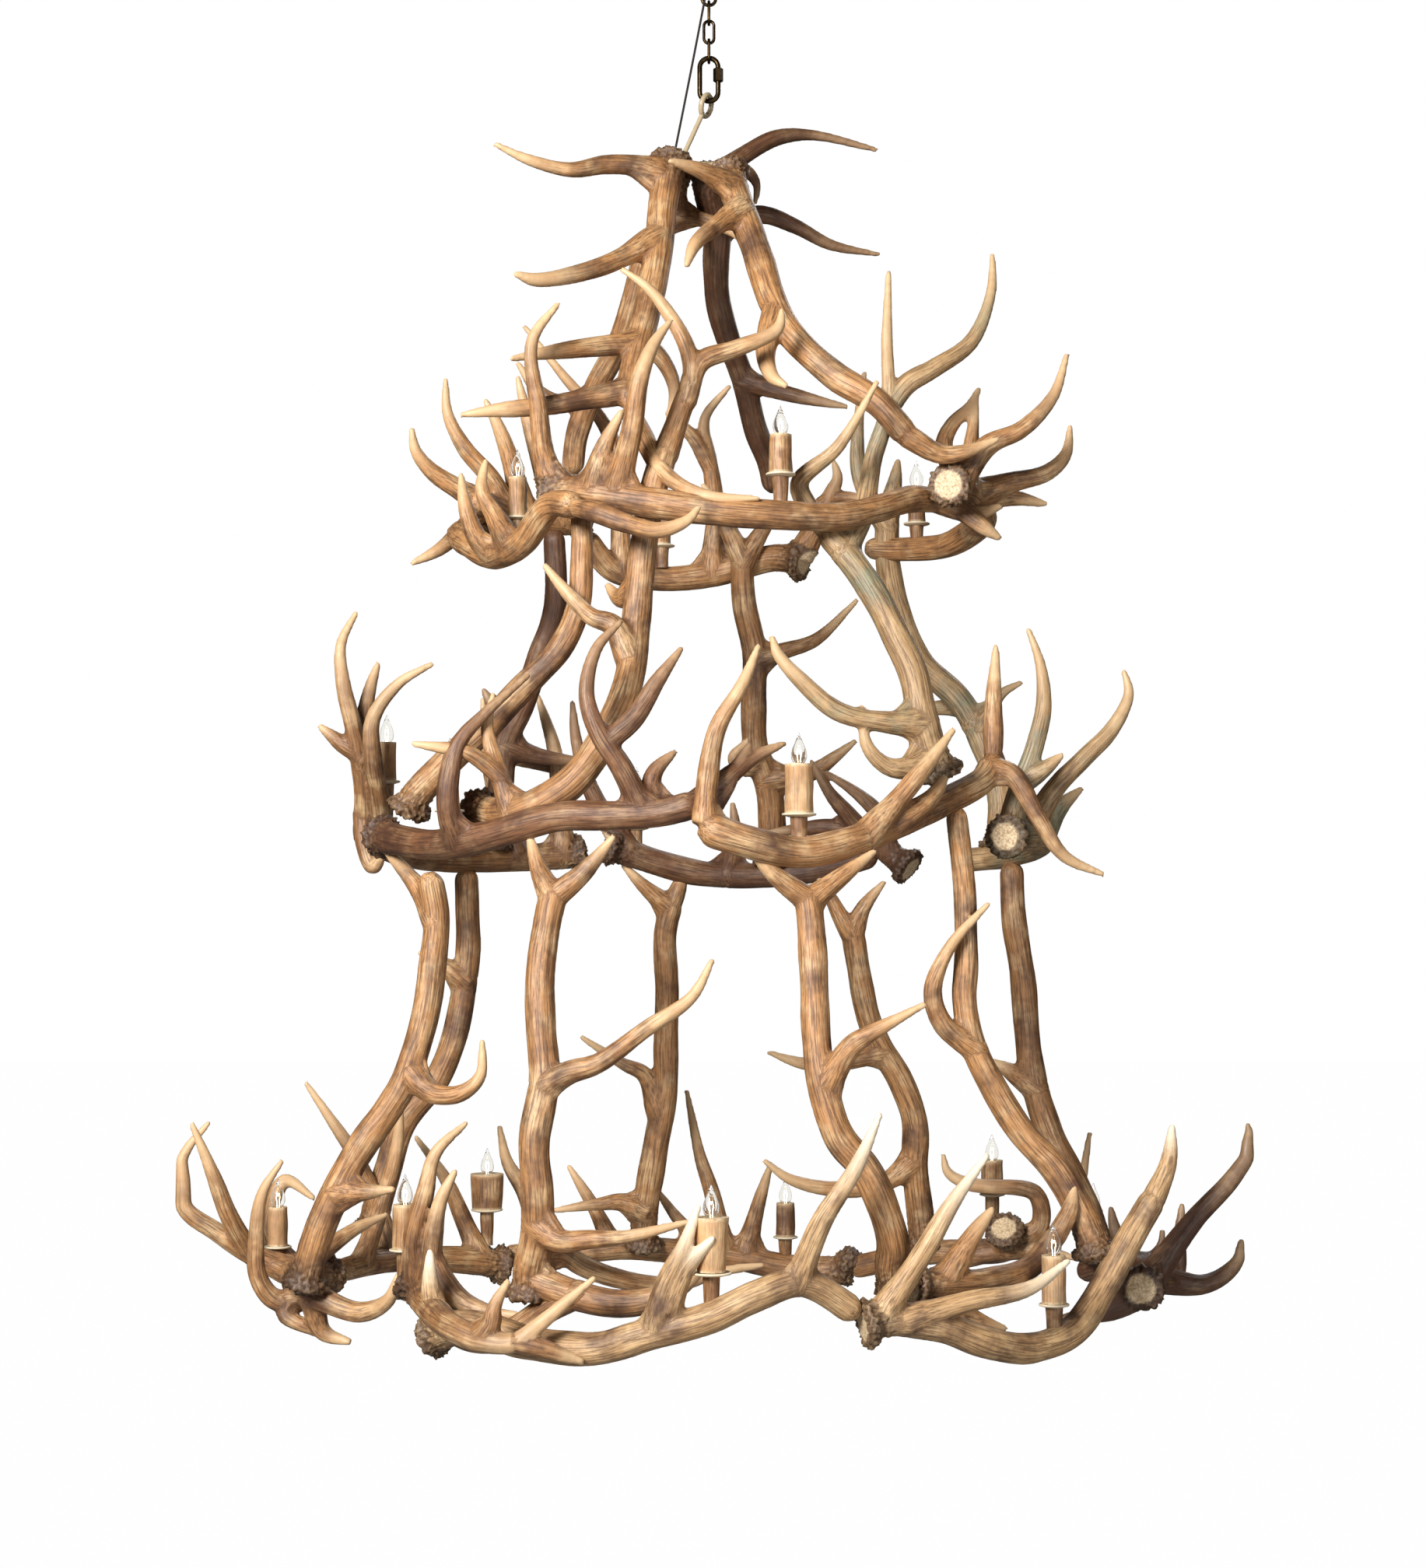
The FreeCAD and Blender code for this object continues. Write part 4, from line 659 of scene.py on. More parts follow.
def antler_limbs(beam, tines, girth, burr, end, seed):
    """Limbs of an antler, each as (kind, places, radii, starting length along the grain)."""
    size = sizes()

    def wobbled(places, radii, offset):
        """Radii that swell and shrink a little along the limb, as grown horn does."""
        run = 0.0
        made = []
        for i, radius in enumerate(radii):
            run += (places[i] - places[i - 1]).length if i else 0.0
            made.append(radius * (1 + WOBBLE * noise.noise(Vector((seed, offset, run / WOBBLE_LENGTH)))))
        return made

    points = [laid(*point) for point in beam]
    root = girth * size.beam / 2
    last = girth * end * size.beam_end / 2
    places, radii = follow(points, lambda share: root + (last - root) * share, LIMB_STEP)
    radii = rounded_ends(places, wobbled(places, radii, 0.0), at_start=not burr)
    limbs = [(BEAM, kept_inside(places, radii), radii, 0.0)]
    for number, (stoutness, tine) in enumerate(tines, start=1):
        points = [laid(*point) for point in tine]
        thick = stoutness * girth * size.tine_root / 2
        length = sum((after - before).length for before, after in zip(points, points[1:]))
        carrier, at = carried_by(limbs, points[0])
        stock = limbs[carrier][2][at]
        widest = min(stock, thick * (1 + size.web))

        def width(share):
            """Tine radius: no wider at its root than the limb that carries it, stout in the middle, blunt."""
            flare = (widest - thick) * math.exp(-(share * length / (FLARE_REACH * stock)) ** 2)
            return TIP_RADIUS + (thick + flare - TIP_RADIUS) * (1 - share ** TINE_FULLNESS)

        places, radii = follow(points, width, LIMB_STEP)
        radii = wobbled(places, radii, number * WOBBLE_TURN)
        places = kept_inside(places, radii)
        webs = webs_of(limbs[carrier][1], at, places, stock)
        limbs.append((TINE, places, radii, GRAIN_TURN * number))
        limbs.extend(webs)
    if burr:
        start = limbs[0][1][0]
        along = (limbs[0][1][1] - start).normalized()
        places = [start + along * (girth * size.burr_thickness * step) for step, _ in BURR_OUTLINE]
        radii = [girth * size.burr / 2 * share for _, share in BURR_OUTLINE]
        limbs.append((BURR, kept_inside(places, radii), radii, 0.0))
    return limbs


def grain_frames(limbs):
    """For every place on the limbs: its position, radius, three directions, length, share and kind."""
    rows = []
    for kind, places, radii, offset in limbs:
        run = offset
        side = None
        for i, place in enumerate(places):
            along = (places[min(i + 1, len(places) - 1)] - places[max(i - 1, 0)]).normalized()
            side = side or along.orthogonal().normalized()
            side = (side - along * side.dot(along)).normalized()
            if i:
                run += (place - places[i - 1]).length
            rows.append((*place, radii[i], *along, *side, *along.cross(side), run,
                         i / (len(places) - 1), kind))
    return np.array(rows)


def nearest_rows(rows, spots):
    """For each spot, the row of the limb that it lies on."""
    found = np.empty(len(spots), int)
    chunk = 4096
    for first in range(0, len(spots), chunk):
        part = spots[first:first + chunk]
        space = np.linalg.norm(part[:, None, :] - rows[None, :, :3], axis=2) / rows[None, :, 3]
        found[first:first + chunk] = space.argmin(axis=1)
    return found


def summed(values, edges):
    """For each point, the sum of a value over its neighbours."""
    first, second = edges.T
    return (np.bincount(first, values[second], len(values))
            + np.bincount(second, values[first], len(values)))


EASE_PULL = 0.6
EASE_PUSH = -0.62


def eased(spots, edges, rounds):
    """Spots smoothed without shrinking: each round pulls towards the neighbours and then pushes back."""
    count = np.bincount(edges.ravel(), minlength=len(spots))[:, None]
    for _ in range(rounds):
        for pull in (EASE_PULL, EASE_PUSH):
            total = np.stack([summed(spots[:, axis], edges) for axis in range(3)], axis=1)
            spots = spots + pull * (total / count - spots)
    return spots


def steep(values, low, high):
    """Smooth rise from 0 at low to 1 at high."""
    share = np.clip((values - low) / (high - low), 0, 1)
    return share * share * (3 - 2 * share)


EASING = 7
# Curvatures, in 1/m, that count as flat and as fully hollow, for the painted shade in hollows and the painted
# highlight on ridges.
ROUND_CURVE = -14
HOLLOW_CURVE = 55
GROOVE_WIDTH = 7 * MM
GROOVE_RUN = 110 * MM
PEARL_WIDTH = 5.6 * MM
# Shares of a tine between which it turns to polished tip.
TIP_SHARES = (0.45, 1.05)
# The burr: its reach in radii of the beam, where along the beam its stain starts to fade and over what
# length, the least stain that is still pearled, the edge of its shed face, and that face's rim in radii.
BURR_REACH = 2.2
BURR_HOLD = 14 * MM
BURR_FADE = 22 * MM
LEAST_PEARLED = 0.03
FACE_EDGE = 1.5 * MM
FACE_RIM = (0.8, 0.95)


# The curvature of the skin sets where the antler material paints shade into grooves and forks and a highlight onto
# ridges.
def hollow_shade_and_ridge_highlight(spots, edges, outward, step):
    """How hollow the skin is at each spot, from -1 on a sharp ridge to 1 in a deep groove."""
    count = np.bincount(edges.ravel(), minlength=len(spots))
    sink = sum((summed(spots[:, axis], edges) / count - spots[:, axis]) * outward[:, axis]
               for axis in range(3))
    bend = (sink / step ** 2 - ROUND_CURVE) / HOLLOW_CURVE
    return np.clip((bend + summed(bend, edges) / count) / 2, -1, 1)


def read(items, name, width, kind=float):
    """A property of a mesh's items as an array, with a row for each item."""
    values = np.empty(len(items) * width, kind)
    items.foreach_get(name, values)
    return values.reshape(-1, width)


def note(mesh, **values):
    """Puts attributes on a mesh's points: vectors, or numbers where an array has one column."""
    for name, rows in values.items():
        kind, field = ("FLOAT_VECTOR", "vector") if rows.ndim == 2 else ("FLOAT", "value")
        mesh.attributes.new(name, kind, "POINT").data.foreach_set(field, rows.ravel())


def grow_antler(name, limbs, has_burr, material, seed, shade):
    """One antler: limbs joined under one skin, then grooved, and pearled at the burr."""
    size = sizes()
    lines = [(places, radii) for _, places, radii, _ in limbs]
    thing = bar(name, lines, LIMB_SIDES, material)
    skin = thing.modifiers.new("skin", "REMESH")
    skin.mode = "VOXEL"
    step = size.voxel * 1.0
    skin.voxel_size = step
    thing = baked(thing, name)
    mesh = thing.data
    edges = read(mesh.edges, "vertices", 2, int)
    spots = eased(read(mesh.vertices, "co", 3), edges, EASING)

    rows = grain_frames(limbs)
    found = rows[nearest_rows(rows, spots)]
    offset = spots - found[:, :3]
    run = found[:, 13] + np.sum(offset * found[:, 4:7], axis=1)
    grain = np.stack([np.sum(offset * found[:, 7:10], axis=1),
                      np.sum(offset * found[:, 10:13], axis=1), run], axis=1)
    kind = found[:, 15]
    tip = np.where(kind == TINE, steep(found[:, 14], *TIP_SHARES), 0.0)
    burr = np.zeros(len(spots))
    cut = np.zeros(len(spots))
    if has_burr:
        first = rows[0]
        reach = (spots - first[:3]) @ first[4:7]
        aside = np.linalg.norm(spots - first[:3] - reach[:, None] * first[4:7], axis=1)
        near = aside < first[3] * BURR_REACH
        faded = np.exp(-np.maximum(reach - BURR_HOLD, 0) / BURR_FADE)
        burr = np.where(near & (kind != TINE), faded, 0.0)
        face = 1 - steep(reach, -FACE_EDGE, FACE_EDGE)
        cut = np.where(near, face, 0.0) * (1 - steep(aside / first[3], *FACE_RIM))

    mesh.vertices.foreach_set("co", spots.ravel())
    mesh.update()
    outward = read(mesh.vertices, "normal", 3)
    lift = np.empty(len(spots))
    for i, (across, other, length) in enumerate(grain):
        groove = noise.noise(Vector((across / GROOVE_WIDTH + seed, other / GROOVE_WIDTH, length / GROOVE_RUN)))
        pearl = noise.noise(Vector(spots[i] / PEARL_WIDTH)) if burr[i] > LEAST_PEARLED else 0.0
        lift[i] = (groove * size.groove_depth * (1 - tip[i]) * (1 - burr[i])
                   + pearl * size.pearl_height * burr[i] * (1 - cut[i]))
    spots = spots + outward * lift[:, None]
    mesh.vertices.foreach_set("co", spots.ravel())
    mesh.update()
    # Mask of painted shade in the hollows and painted highlight on the ridges, laid over the real stain and
    # rubbing.
    hollow = hollow_shade_and_ridge_highlight(spots, edges, read(mesh.vertices, "normal", 3), step)

    grain[:, 2] += seed
    note(mesh, grain=grain, wear=np.stack([tip, burr, cut], axis=1), shade=np.full(len(spots), shade),
         hollow=hollow)
    mesh.update()
    return smooth(thing)


def antler(name, beam, tines=(), girth=1.0, burr=True, end=1.0):
    """Notes one shed antler: its beam from the burr to the crown, and its tines."""
    ANTLERS[name] = (beam, tines, girth, burr, end)


def apex_antlers():
    """Four antlers, burrs up, whose crowns reach down to the top ring."""
    antler("antler_apex_front_left", [
        (-64, 1343, -32), (-79, 1267, -62), (-87, 1181, -105), (-101, 1100, -150), (-121, 1015, -195),
        (-133, 965, -225), (-142, 910, -262)], [
        [(-84, 1300, -52), (-160, 1316, -80), (-233, 1319, -110), (-310, 1340, -135), (-372, 1369, -150)],
        [(-92, 1200, -100), (-187, 1152, -170), (-296, 1129, -225), (-336, 1140, -250)],
        [(-118, 1020, -190), (-241, 1007, -255), (-343, 991, -310)],
        [(-141, 935, -245), (-281, 909, -290), (-360, 902, -310), (-429, 893, -320)],
        [(-140, 905, -262), (-115, 860, -305), (-75, 790, -352), (0, 752, -398), (89, 748, -404)]])
    antler("antler_apex_front_right", [
        (33, 1319, -8), (52, 1262, -58), (85, 1172, -118), (113, 1085, -170), (147, 1028, -205),
        (219, 961, -240), (291, 915, -258), (347, 850, -262)], [
        [(43, 1290, -34), (-9, 1319, -95), (-69, 1339, -150)],
        [(56, 1250, -78), (13, 1224, -130), (-24, 1191, -180), (-39, 1152, -210)],
        [(116, 1075, -175), (98, 1000, -232), (110, 960, -262), (135, 943, -285)],
        [(340, 858, -262), (401, 825, -250), (450, 832, -245), (500, 852, -240)]])
    antler("antler_apex_rear_right", [
        (-8, 1327, 27), (0, 1270, 58), (14, 1219, 90), (12, 1160, 115), (15, 1095, 150), (30, 1035, 180),
        (60, 950, 225), (80, 868, 270), (100, 815, 300), (113, 760, 330)], [
        [(4, 1305, 42), (61, 1348, 78), (119, 1379, 110), (180, 1383, 135), (292, 1357, 155)],
        [(14, 1222, 88), (91, 1243, 112), (147, 1224, 130), (209, 1191, 150), (295, 1173, 175)],
        [(58, 955, 222), (113, 936, 205), (176, 920, 192), (240, 907, 180)]], girth=0.95)
    antler("antler_apex_rear_left", [
        (-60, 1322, 16), (-66, 1255, 56), (-85, 1215, 84), (-109, 1172, 112), (-133, 1085, 150),
        (-157, 1015, 190), (-200, 933, 240), (-228, 860, 275), (-236, 790, 300)], [
        [(-150, 1035, 180), (-90, 1000, 200), (-60, 940, 215), (-72, 880, 230)],
        [(-205, 925, 243), (-262, 915, 262), (-300, 940, 275), (-331, 985, 282)]], girth=0.95)


def top_ring():
    """Antlers laid round the top ring, their tines standing up."""
    antler("antler_top_front", [
        (-273, 758, -293), (-235, 761, -318), (-187, 755, -345), (-101, 741, -372), (5, 728, -388),
        (115, 720, -378), (219, 716, -335), (283, 728, -290), (347, 747, -215), (393, 745, -150)], [
        [(-268, 768, -298), (-285, 830, -312), (-293, 903, -330), (-305, 1021, -340), (-259, 1089, -330)],
        [(-160, 752, -352), (-132, 868, -395), (-119, 953, -410), (-97, 1013, -402), (-64, 1060, -382)],
        [(-200, 757, -338), (-179, 839, -365), (-148, 903, -380)],
        [(385, 745, -160), (452, 722, -160), (505, 735, -150)],
        [(425, 735, -158), (470, 700, -175), (502, 678, -170)]])
    antler("antler_top_right", [
        (413, 772, -236), (437, 765, -160), (462, 735, -60), (468, 705, 60), (410, 668, 165),
        (335, 660, 245), (270, 662, 290)], [
        [(425, 770, -195), (480, 840, -198), (539, 868, -195), (593, 924, -182), (619, 1000, -165)],
        [(450, 752, -115), (517, 775, -110), (580, 792, -90), (615, 825, -70), (623, 875, -60)],
        [(455, 748, -90), (520, 750, -75), (583, 738, -60)],
        [(440, 765, -150), (450, 830, -120), (462, 930, -100)]])
    antler("antler_top_rear", [
        (160, 639, 318), (113, 645, 345), (5, 617, 368), (-89, 609, 362), (-165, 625, 335),
        (-216, 685, 296)], [
        [(-150, 622, 340), (-155, 740, 336), (-165, 839, 325), (-187, 885, 314), (-251, 961, 298),
         (-320, 1049, 280)],
        [(5, 620, 366), (10, 740, 356), (0, 817, 346), (-8, 885, 335), (36, 945, 322)],
        [(2, 800, 348), (-24, 850, 336), (-76, 900, 328)]])
    antler("antler_top_front_left", [
        (-395, 690, 150), (-425, 685, 50), (-412, 672, -70), (-367, 650, -180), (-318, 675, -262),
        (-272, 736, -328), (-225, 736, -388)], [
        [(-365, 652, -182), (-399, 681, -205), (-420, 741, -218), (-427, 792, -212)],
        [(-340, 665, -228), (-369, 720, -256), (-391, 763, -262), (-384, 815, -248)],
        [(-228, 732, -388), (-187, 722, -425), (-144, 706, -438), (-89, 693, -440), (-37, 710, -438),
         (-15, 735, -432)]])
    antler("antler_top_rear_left", [
        (-214, 706, 290), (-290, 712, 238), (-350, 722, 180), (-385, 738, 110), (-398, 742, 30)], [
        [(-392, 742, 70), (-435, 767, 50), (-478, 796, 35), (-505, 831, 20), (-513, 872, 10)],
        [(-345, 722, 184), (-377, 784, 155), (-420, 835, 140), (-450, 893, 130), (-455, 957, 130)],
        [(-318, 718, 212), (-344, 821, 195), (-365, 877, 180), (-387, 921, 175)],
        [(-385, 735, 115), (-420, 700, 85), (-463, 660, 50), (-512, 635, 30)],
        [(-262, 712, 256), (-290, 800, 262), (-315, 895, 262), (-331, 961, 258)]])


def upper_uprights():
    """Antlers that stand between the middle and the top ring, crowns up."""
    antler("antler_upper_rear_left", [
        (-370, 150, 352), (-358, 240, 335), (-349, 327, 315), (-320, 391, 300), (-291, 476, 282),
        (-265, 560, 262), (-267, 694, 234)], [
        [(-350, 322, 316), (-299, 305, 334), (-255, 298, 345), (-213, 297, 352)],
        [(-342, 345, 312), (-368, 385, 300), (-388, 420, 296)]], girth=0.95)
    antler("antler_upper_front_left", [
        (-513, 208, -253), (-499, 238, -262), (-443, 297, -284), (-384, 352, -306),
        (-320, 420, -322), (-256, 488, -320), (-224, 560, -310), (-218, 650, -302),
        (-220, 742, -296)], end=0.8)
    antler("antler_upper_front_centre_left", [
        (-395, 210, -292), (-328, 206, -402), (-235, 258, -436), (-171, 348, -420), (-137, 433, -385),
        (-124, 539, -342), (-112, 667, -338), (-96, 760, -338), (-72, 839, -324)], [
        [(-76, 820, -326), (-50, 895, -312), (-29, 961, -312), (-37, 1009, -312), (-68, 1068, -310),
         (-105, 1115, -308), (-152, 1149, -305)],
        [(-40, 915, -312), (-15, 985, -308), (47, 1009, -302), (119, 1043, -296), (127, 1078, -292)],
        [(-135, 470, -370), (-165, 530, -366), (-201, 544, -362), (-248, 591, -352), (-284, 635, -345)],
        [(-118, 600, -335), (-150, 575, -300), (-176, 600, -278)]])
    antler("antler_upper_rear", [
        (108, 119, 451), (107, 190, 440), (102, 248, 425), (79, 321, 405), (76, 400, 385),
        (78, 479, 365), (60, 568, 345), (56, 660, 320)], [
        [(57, 640, 325), (35, 690, 318), (12, 735, 312), (-12, 775, 305)],
        [(57, 635, 326), (90, 690, 322), (120, 730, 316)],
        [(82, 470, 368), (130, 485, 362), (183, 504, 352), (255, 573, 338)],
        [(97, 262, 420), (177, 277, 402), (215, 302, 392), (252, 331, 382)],
        [(84, 300, 410), (62, 285, 400), (42, 300, 392), (70, 335, 386)]])
    antler("antler_upper_front_right", [
        (399, 272, -333), (380, 318, -346), (366, 371, -348), (351, 445, -340), (321, 509, -330),
        (283, 584, -318), (240, 647, -306), (197, 695, -298)], [
        [(200, 690, -298), (170, 735, -306), (156, 775, -312), (224, 839, -345), (292, 953, -362)],
        [(232, 655, -304), (264, 717, -274), (283, 817, -240), (308, 903, -240), (308, 1029, -250),
         (311, 1145, -235)],
        [(305, 890, -240), (340, 945, -236), (389, 975, -228), (453, 1021, -210), (487, 1103, -190),
         (491, 1175, -172)],
        [(368, 361, -348), (316, 361, -372), (223, 380, -392), (157, 435, -398), (119, 479, -396),
         (108, 511, -392)],
        [(385, 305, -342), (345, 284, -365), (305, 287, -378), (272, 321, -385), (261, 391, -382)]])
    antler("antler_upper_rear_right", [
        (496, 144, 250), (500, 232, 278), (469, 330, 300), (429, 400, 308), (360, 469, 312),
        (321, 568, 300), (306, 650, 276), (308, 735, 258)], [
        [(455, 355, 302), (439, 320, 320), (400, 335, 335), (350, 352, 340), (316, 361, 342)],
        [(309, 720, 262), (318, 770, 258), (326, 817, 254)]])


def middle_ring():
    """Antlers laid round the middle ring."""
    antler("antler_middle_front_left", [
        (-559, 167, -160), (-520, 158, -240), (-469, 152, -315), (-384, 165, -400), (-256, 200, -468),
        (-171, 202, -490), (-87, 206, -500), (-15, 224, -509)], [
        [(-22, 222, -500), (25, 262, -488), (75, 300, -466), (133, 327, -450)],
        [(-425, 160, -368), (-446, 215, -410), (-443, 275, -418), (-427, 327, -416), (-380, 380, -404),
         (-307, 445, -385)],
        [(-110, 205, -490), (-149, 284, -512), (-188, 344, -518), (-209, 412, -512), (-192, 488, -500),
         (-149, 537, -488)],
        [(-178, 325, -516), (-128, 369, -512), (-87, 433, -505), (-45, 491, -498)],
        [(-95, 206, -490), (-95, 271, -478), (-56, 313, -470)]])
    antler("antler_middle_left", [
        (-218, 136, 422), (-320, 129, 388), (-409, 127, 322), (-500, 132, 210), (-560, 150, 80),
        (-592, 170, -40)], [
        [(-588, 168, -25), (-592, 263, -72), (-609, 352, -100), (-627, 428, -108), (-631, 496, -100),
         (-605, 552, -88)],
        [(-570, 160, 30), (-560, 210, -60), (-576, 305, -132), (-575, 369, -146), (-532, 428, -152),
         (-473, 463, -150)],
        [(-603, 310, -88), (-630, 326, -92), (-668, 356, -98)],
        [(-250, 131, 412), (-256, 220, 405), (-265, 313, 398), (-280, 365, 392), (-296, 412, 388)]])
    antler("antler_middle_front_right", [
        (-15, 184, -530), (59, 159, -530), (157, 139, -492), (256, 162, -446), (331, 192, -392),
        (404, 226, -325), (469, 263, -268), (488, 298, -240)], [
        [(-5, 188, -528), (-2, 260, -520), (15, 351, -522), (59, 429, -518), (87, 496, -510)],
        [(270, 168, -438), (331, 237, -424), (380, 297, -412), (421, 351, -400)],
        [(310, 185, -410), (380, 232, -386), (410, 280, -350)],
        [(487, 296, -242), (488, 396, -238), (493, 495, -235)],
        [(480, 282, -252), (519, 272, -262), (563, 199, -272), (607, 133, -268),
         (676, 100, -255)]], burr=False)
    antler("antler_middle_right", [
        (507, 166, -232), (540, 168, -150), (565, 162, -30), (560, 150, 90), (510, 134, 208),
        (430, 124, 300)], [
        [(515, 170, -195), (528, 237, -200), (556, 312, -198), (574, 391, -194), (569, 460, -188),
         (548, 524, -182)],
        [(545, 168, -130), (590, 245, -125), (640, 298, -120), (691, 351, -115), (720, 411, -110),
         (711, 452, -108)],
        [(535, 255, -200), (572, 280, -212), (607, 307, -218)],
        [(566, 160, 10), (600, 215, 20), (640, 250, 25)]])
    antler("antler_middle_rear", [
        (-172, 150, 432), (-87, 121, 458), (-15, 103, 468), (84, 99, 468), (180, 107, 440),
        (286, 134, 385)], [
        [(-140, 142, 440), (-200, 240, 425), (-227, 327, 412), (-235, 399, 402)],
        [(30, 98, 468), (45, 160, 490), (40, 225, 500)]])
    antler("antler_middle_rear_right", [
        (342, 112, 350), (298, 145, 374), (262, 172, 372), (215, 198, 372)], [
        [(306, 140, 366), (291, 200, 352), (256, 237, 346), (197, 277, 342)],
        [(270, 168, 372), (241, 200, 352), (207, 240, 340), (173, 297, 334)]], end=0.6)


def lower_uprights():
    """Antlers that stand between the bottom and the middle ring, crowns up and burrs down."""
    antler("antler_lower_front_left", [
        (-684, -595, -226), (-674, -548, -238), (-653, -485, -245), (-620, -415, -248),
        (-587, -357, -250), (-543, -295, -250), (-517, -250, -250), (-483, -140, -246),
        (-471, -55, -240), (-465, 29, -235), (-478, 105, -238)], [
        [(-468, 20, -236), (-490, 70, -212), (-525, 114, -194), (-556, 146, -170)],
        [(-508, -232, -250), (-470, -270, -275), (-424, -272, -295), (-389, -243, -305),
         (-385, -179, -305)],
        [(-632, -440, -247), (-590, -438, -272), (-533, -433, -300)]])
    antler("antler_lower_rear_left", [
        (-572, -505, 350), (-562, -457, 350), (-543, -391, 348), (-520, -319, 345), (-465, -251, 340),
        (-436, -183, 336), (-420, -107, 332), (-411, -20, 328), (-413, 45, 325), (-415, 112, 322)], [
        [(-412, -85, 330), (-444, -60, 318), (-470, -42, 310), (-496, -32, 305)]])
    antler("antler_lower_front_centre_left", [
        (-304, -613, -508), (-302, -565, -516), (-291, -513, -530), (-291, -431, -545),
        (-296, -353, -545), (-279, -247, -535), (-285, -161, -522), (-287, -76, -508), (-275, 21, -488),
        (-262, 75, -478)], [
        [(-266, 60, -480), (-290, 112, -460), (-308, 172, -444)],
        [(-264, 62, -480), (-210, 108, -488), (-160, 168, -496)],
        [(-281, -260, -536), (-235, -235, -560), (-189, -221, -572), (-104, -161, -580), (-28, -107, -580),
         (8, -43, -575)],
        [(-292, -490, -535), (-255, -519, -558), (-200, -518, -575), (-139, -513, -585),
         (-28, -487, -590)]])
    antler("antler_lower_rear_centre_left", [
        (-112, -530, 570), (-110, -480, 552), (-92, -365, 525), (-75, -268, 512), (-74, -183, 502),
        (-72, -97, 492), (-75, 0, 480), (-62, 60, 472)], [
        [(-66, 45, 474), (-105, 75, 462), (-150, 120, 448)],
        [(-64, 50, 473), (-50, 85, 470), (-45, 108, 474)],
        [(-82, -310, 518), (-110, -240, 505), (-147, -221, 495), (-219, -175, 485)],
        [(-108, -470, 543), (-150, -455, 530), (-193, -459, 520), (-265, -469, 510)]])
    antler("antler_lower_front_centre_right", [
        (322, -597, -499), (310, -565, -512), (313, -525, -525), (297, -465, -538), (267, -400, -545),
        (223, -345, -545), (192, -247, -535), (184, -183, -525), (180, -76, -508), (174, 20, -490),
        (168, 72, -480)], [
        [(170, 58, -482), (118, 96, -502), (70, 142, -522)],
        [(170, 55, -482), (230, 100, -465), (285, 142, -448)],
        [(198, -262, -537), (245, -190, -560), (285, -165, -570), (371, -119, -575)]])
    antler("antler_lower_rear_centre_right", [
        (364, -529, 494), (357, -466, 480), (349, -395, 458), (349, -318, 448), (324, -247, 438),
        (291, -191, 428), (270, -140, 420), (254, -55, 410), (244, 10, 402)], [
        [(246, -5, 404), (225, 28, 398), (205, 66, 404), (184, 98, 430)],
        [(246, -2, 403), (262, 42, 392), (300, 90, 375)],
        [(295, -200, 429), (231, -217, 410), (163, -221, 398), (99, -201, 388)],
        [(349, -385, 456), (290, -425, 440), (213, -433, 425), (137, -416, 415), (92, -384, 408)]])
    antler("antler_lower_front_right", [
        (655, -545, -318), (648, -515, -318), (632, -475, -315), (593, -404, -312), (532, -337, -308),
        (477, -247, -302), (448, -183, -300), (436, -110, -298), (439, -55, -298), (437, 72, -300),
        (423, 216, -315)], [
        [(455, -198, -301), (400, -155, -318), (382, -97, -326), (413, -21, -330),
         (479, 53, -325)]], end=0.8)
    antler("antler_lower_rear_right", [
        (667, -548, 182), (647, -487, 184), (622, -425, 194), (578, -335, 204), (551, -247, 204),
        (541, -161, 198), (535, -76, 190), (520, 29, 180), (517, 123, 182)], [
        [(556, -262, 204), (515, -235, 196), (480, -215, 192)]])


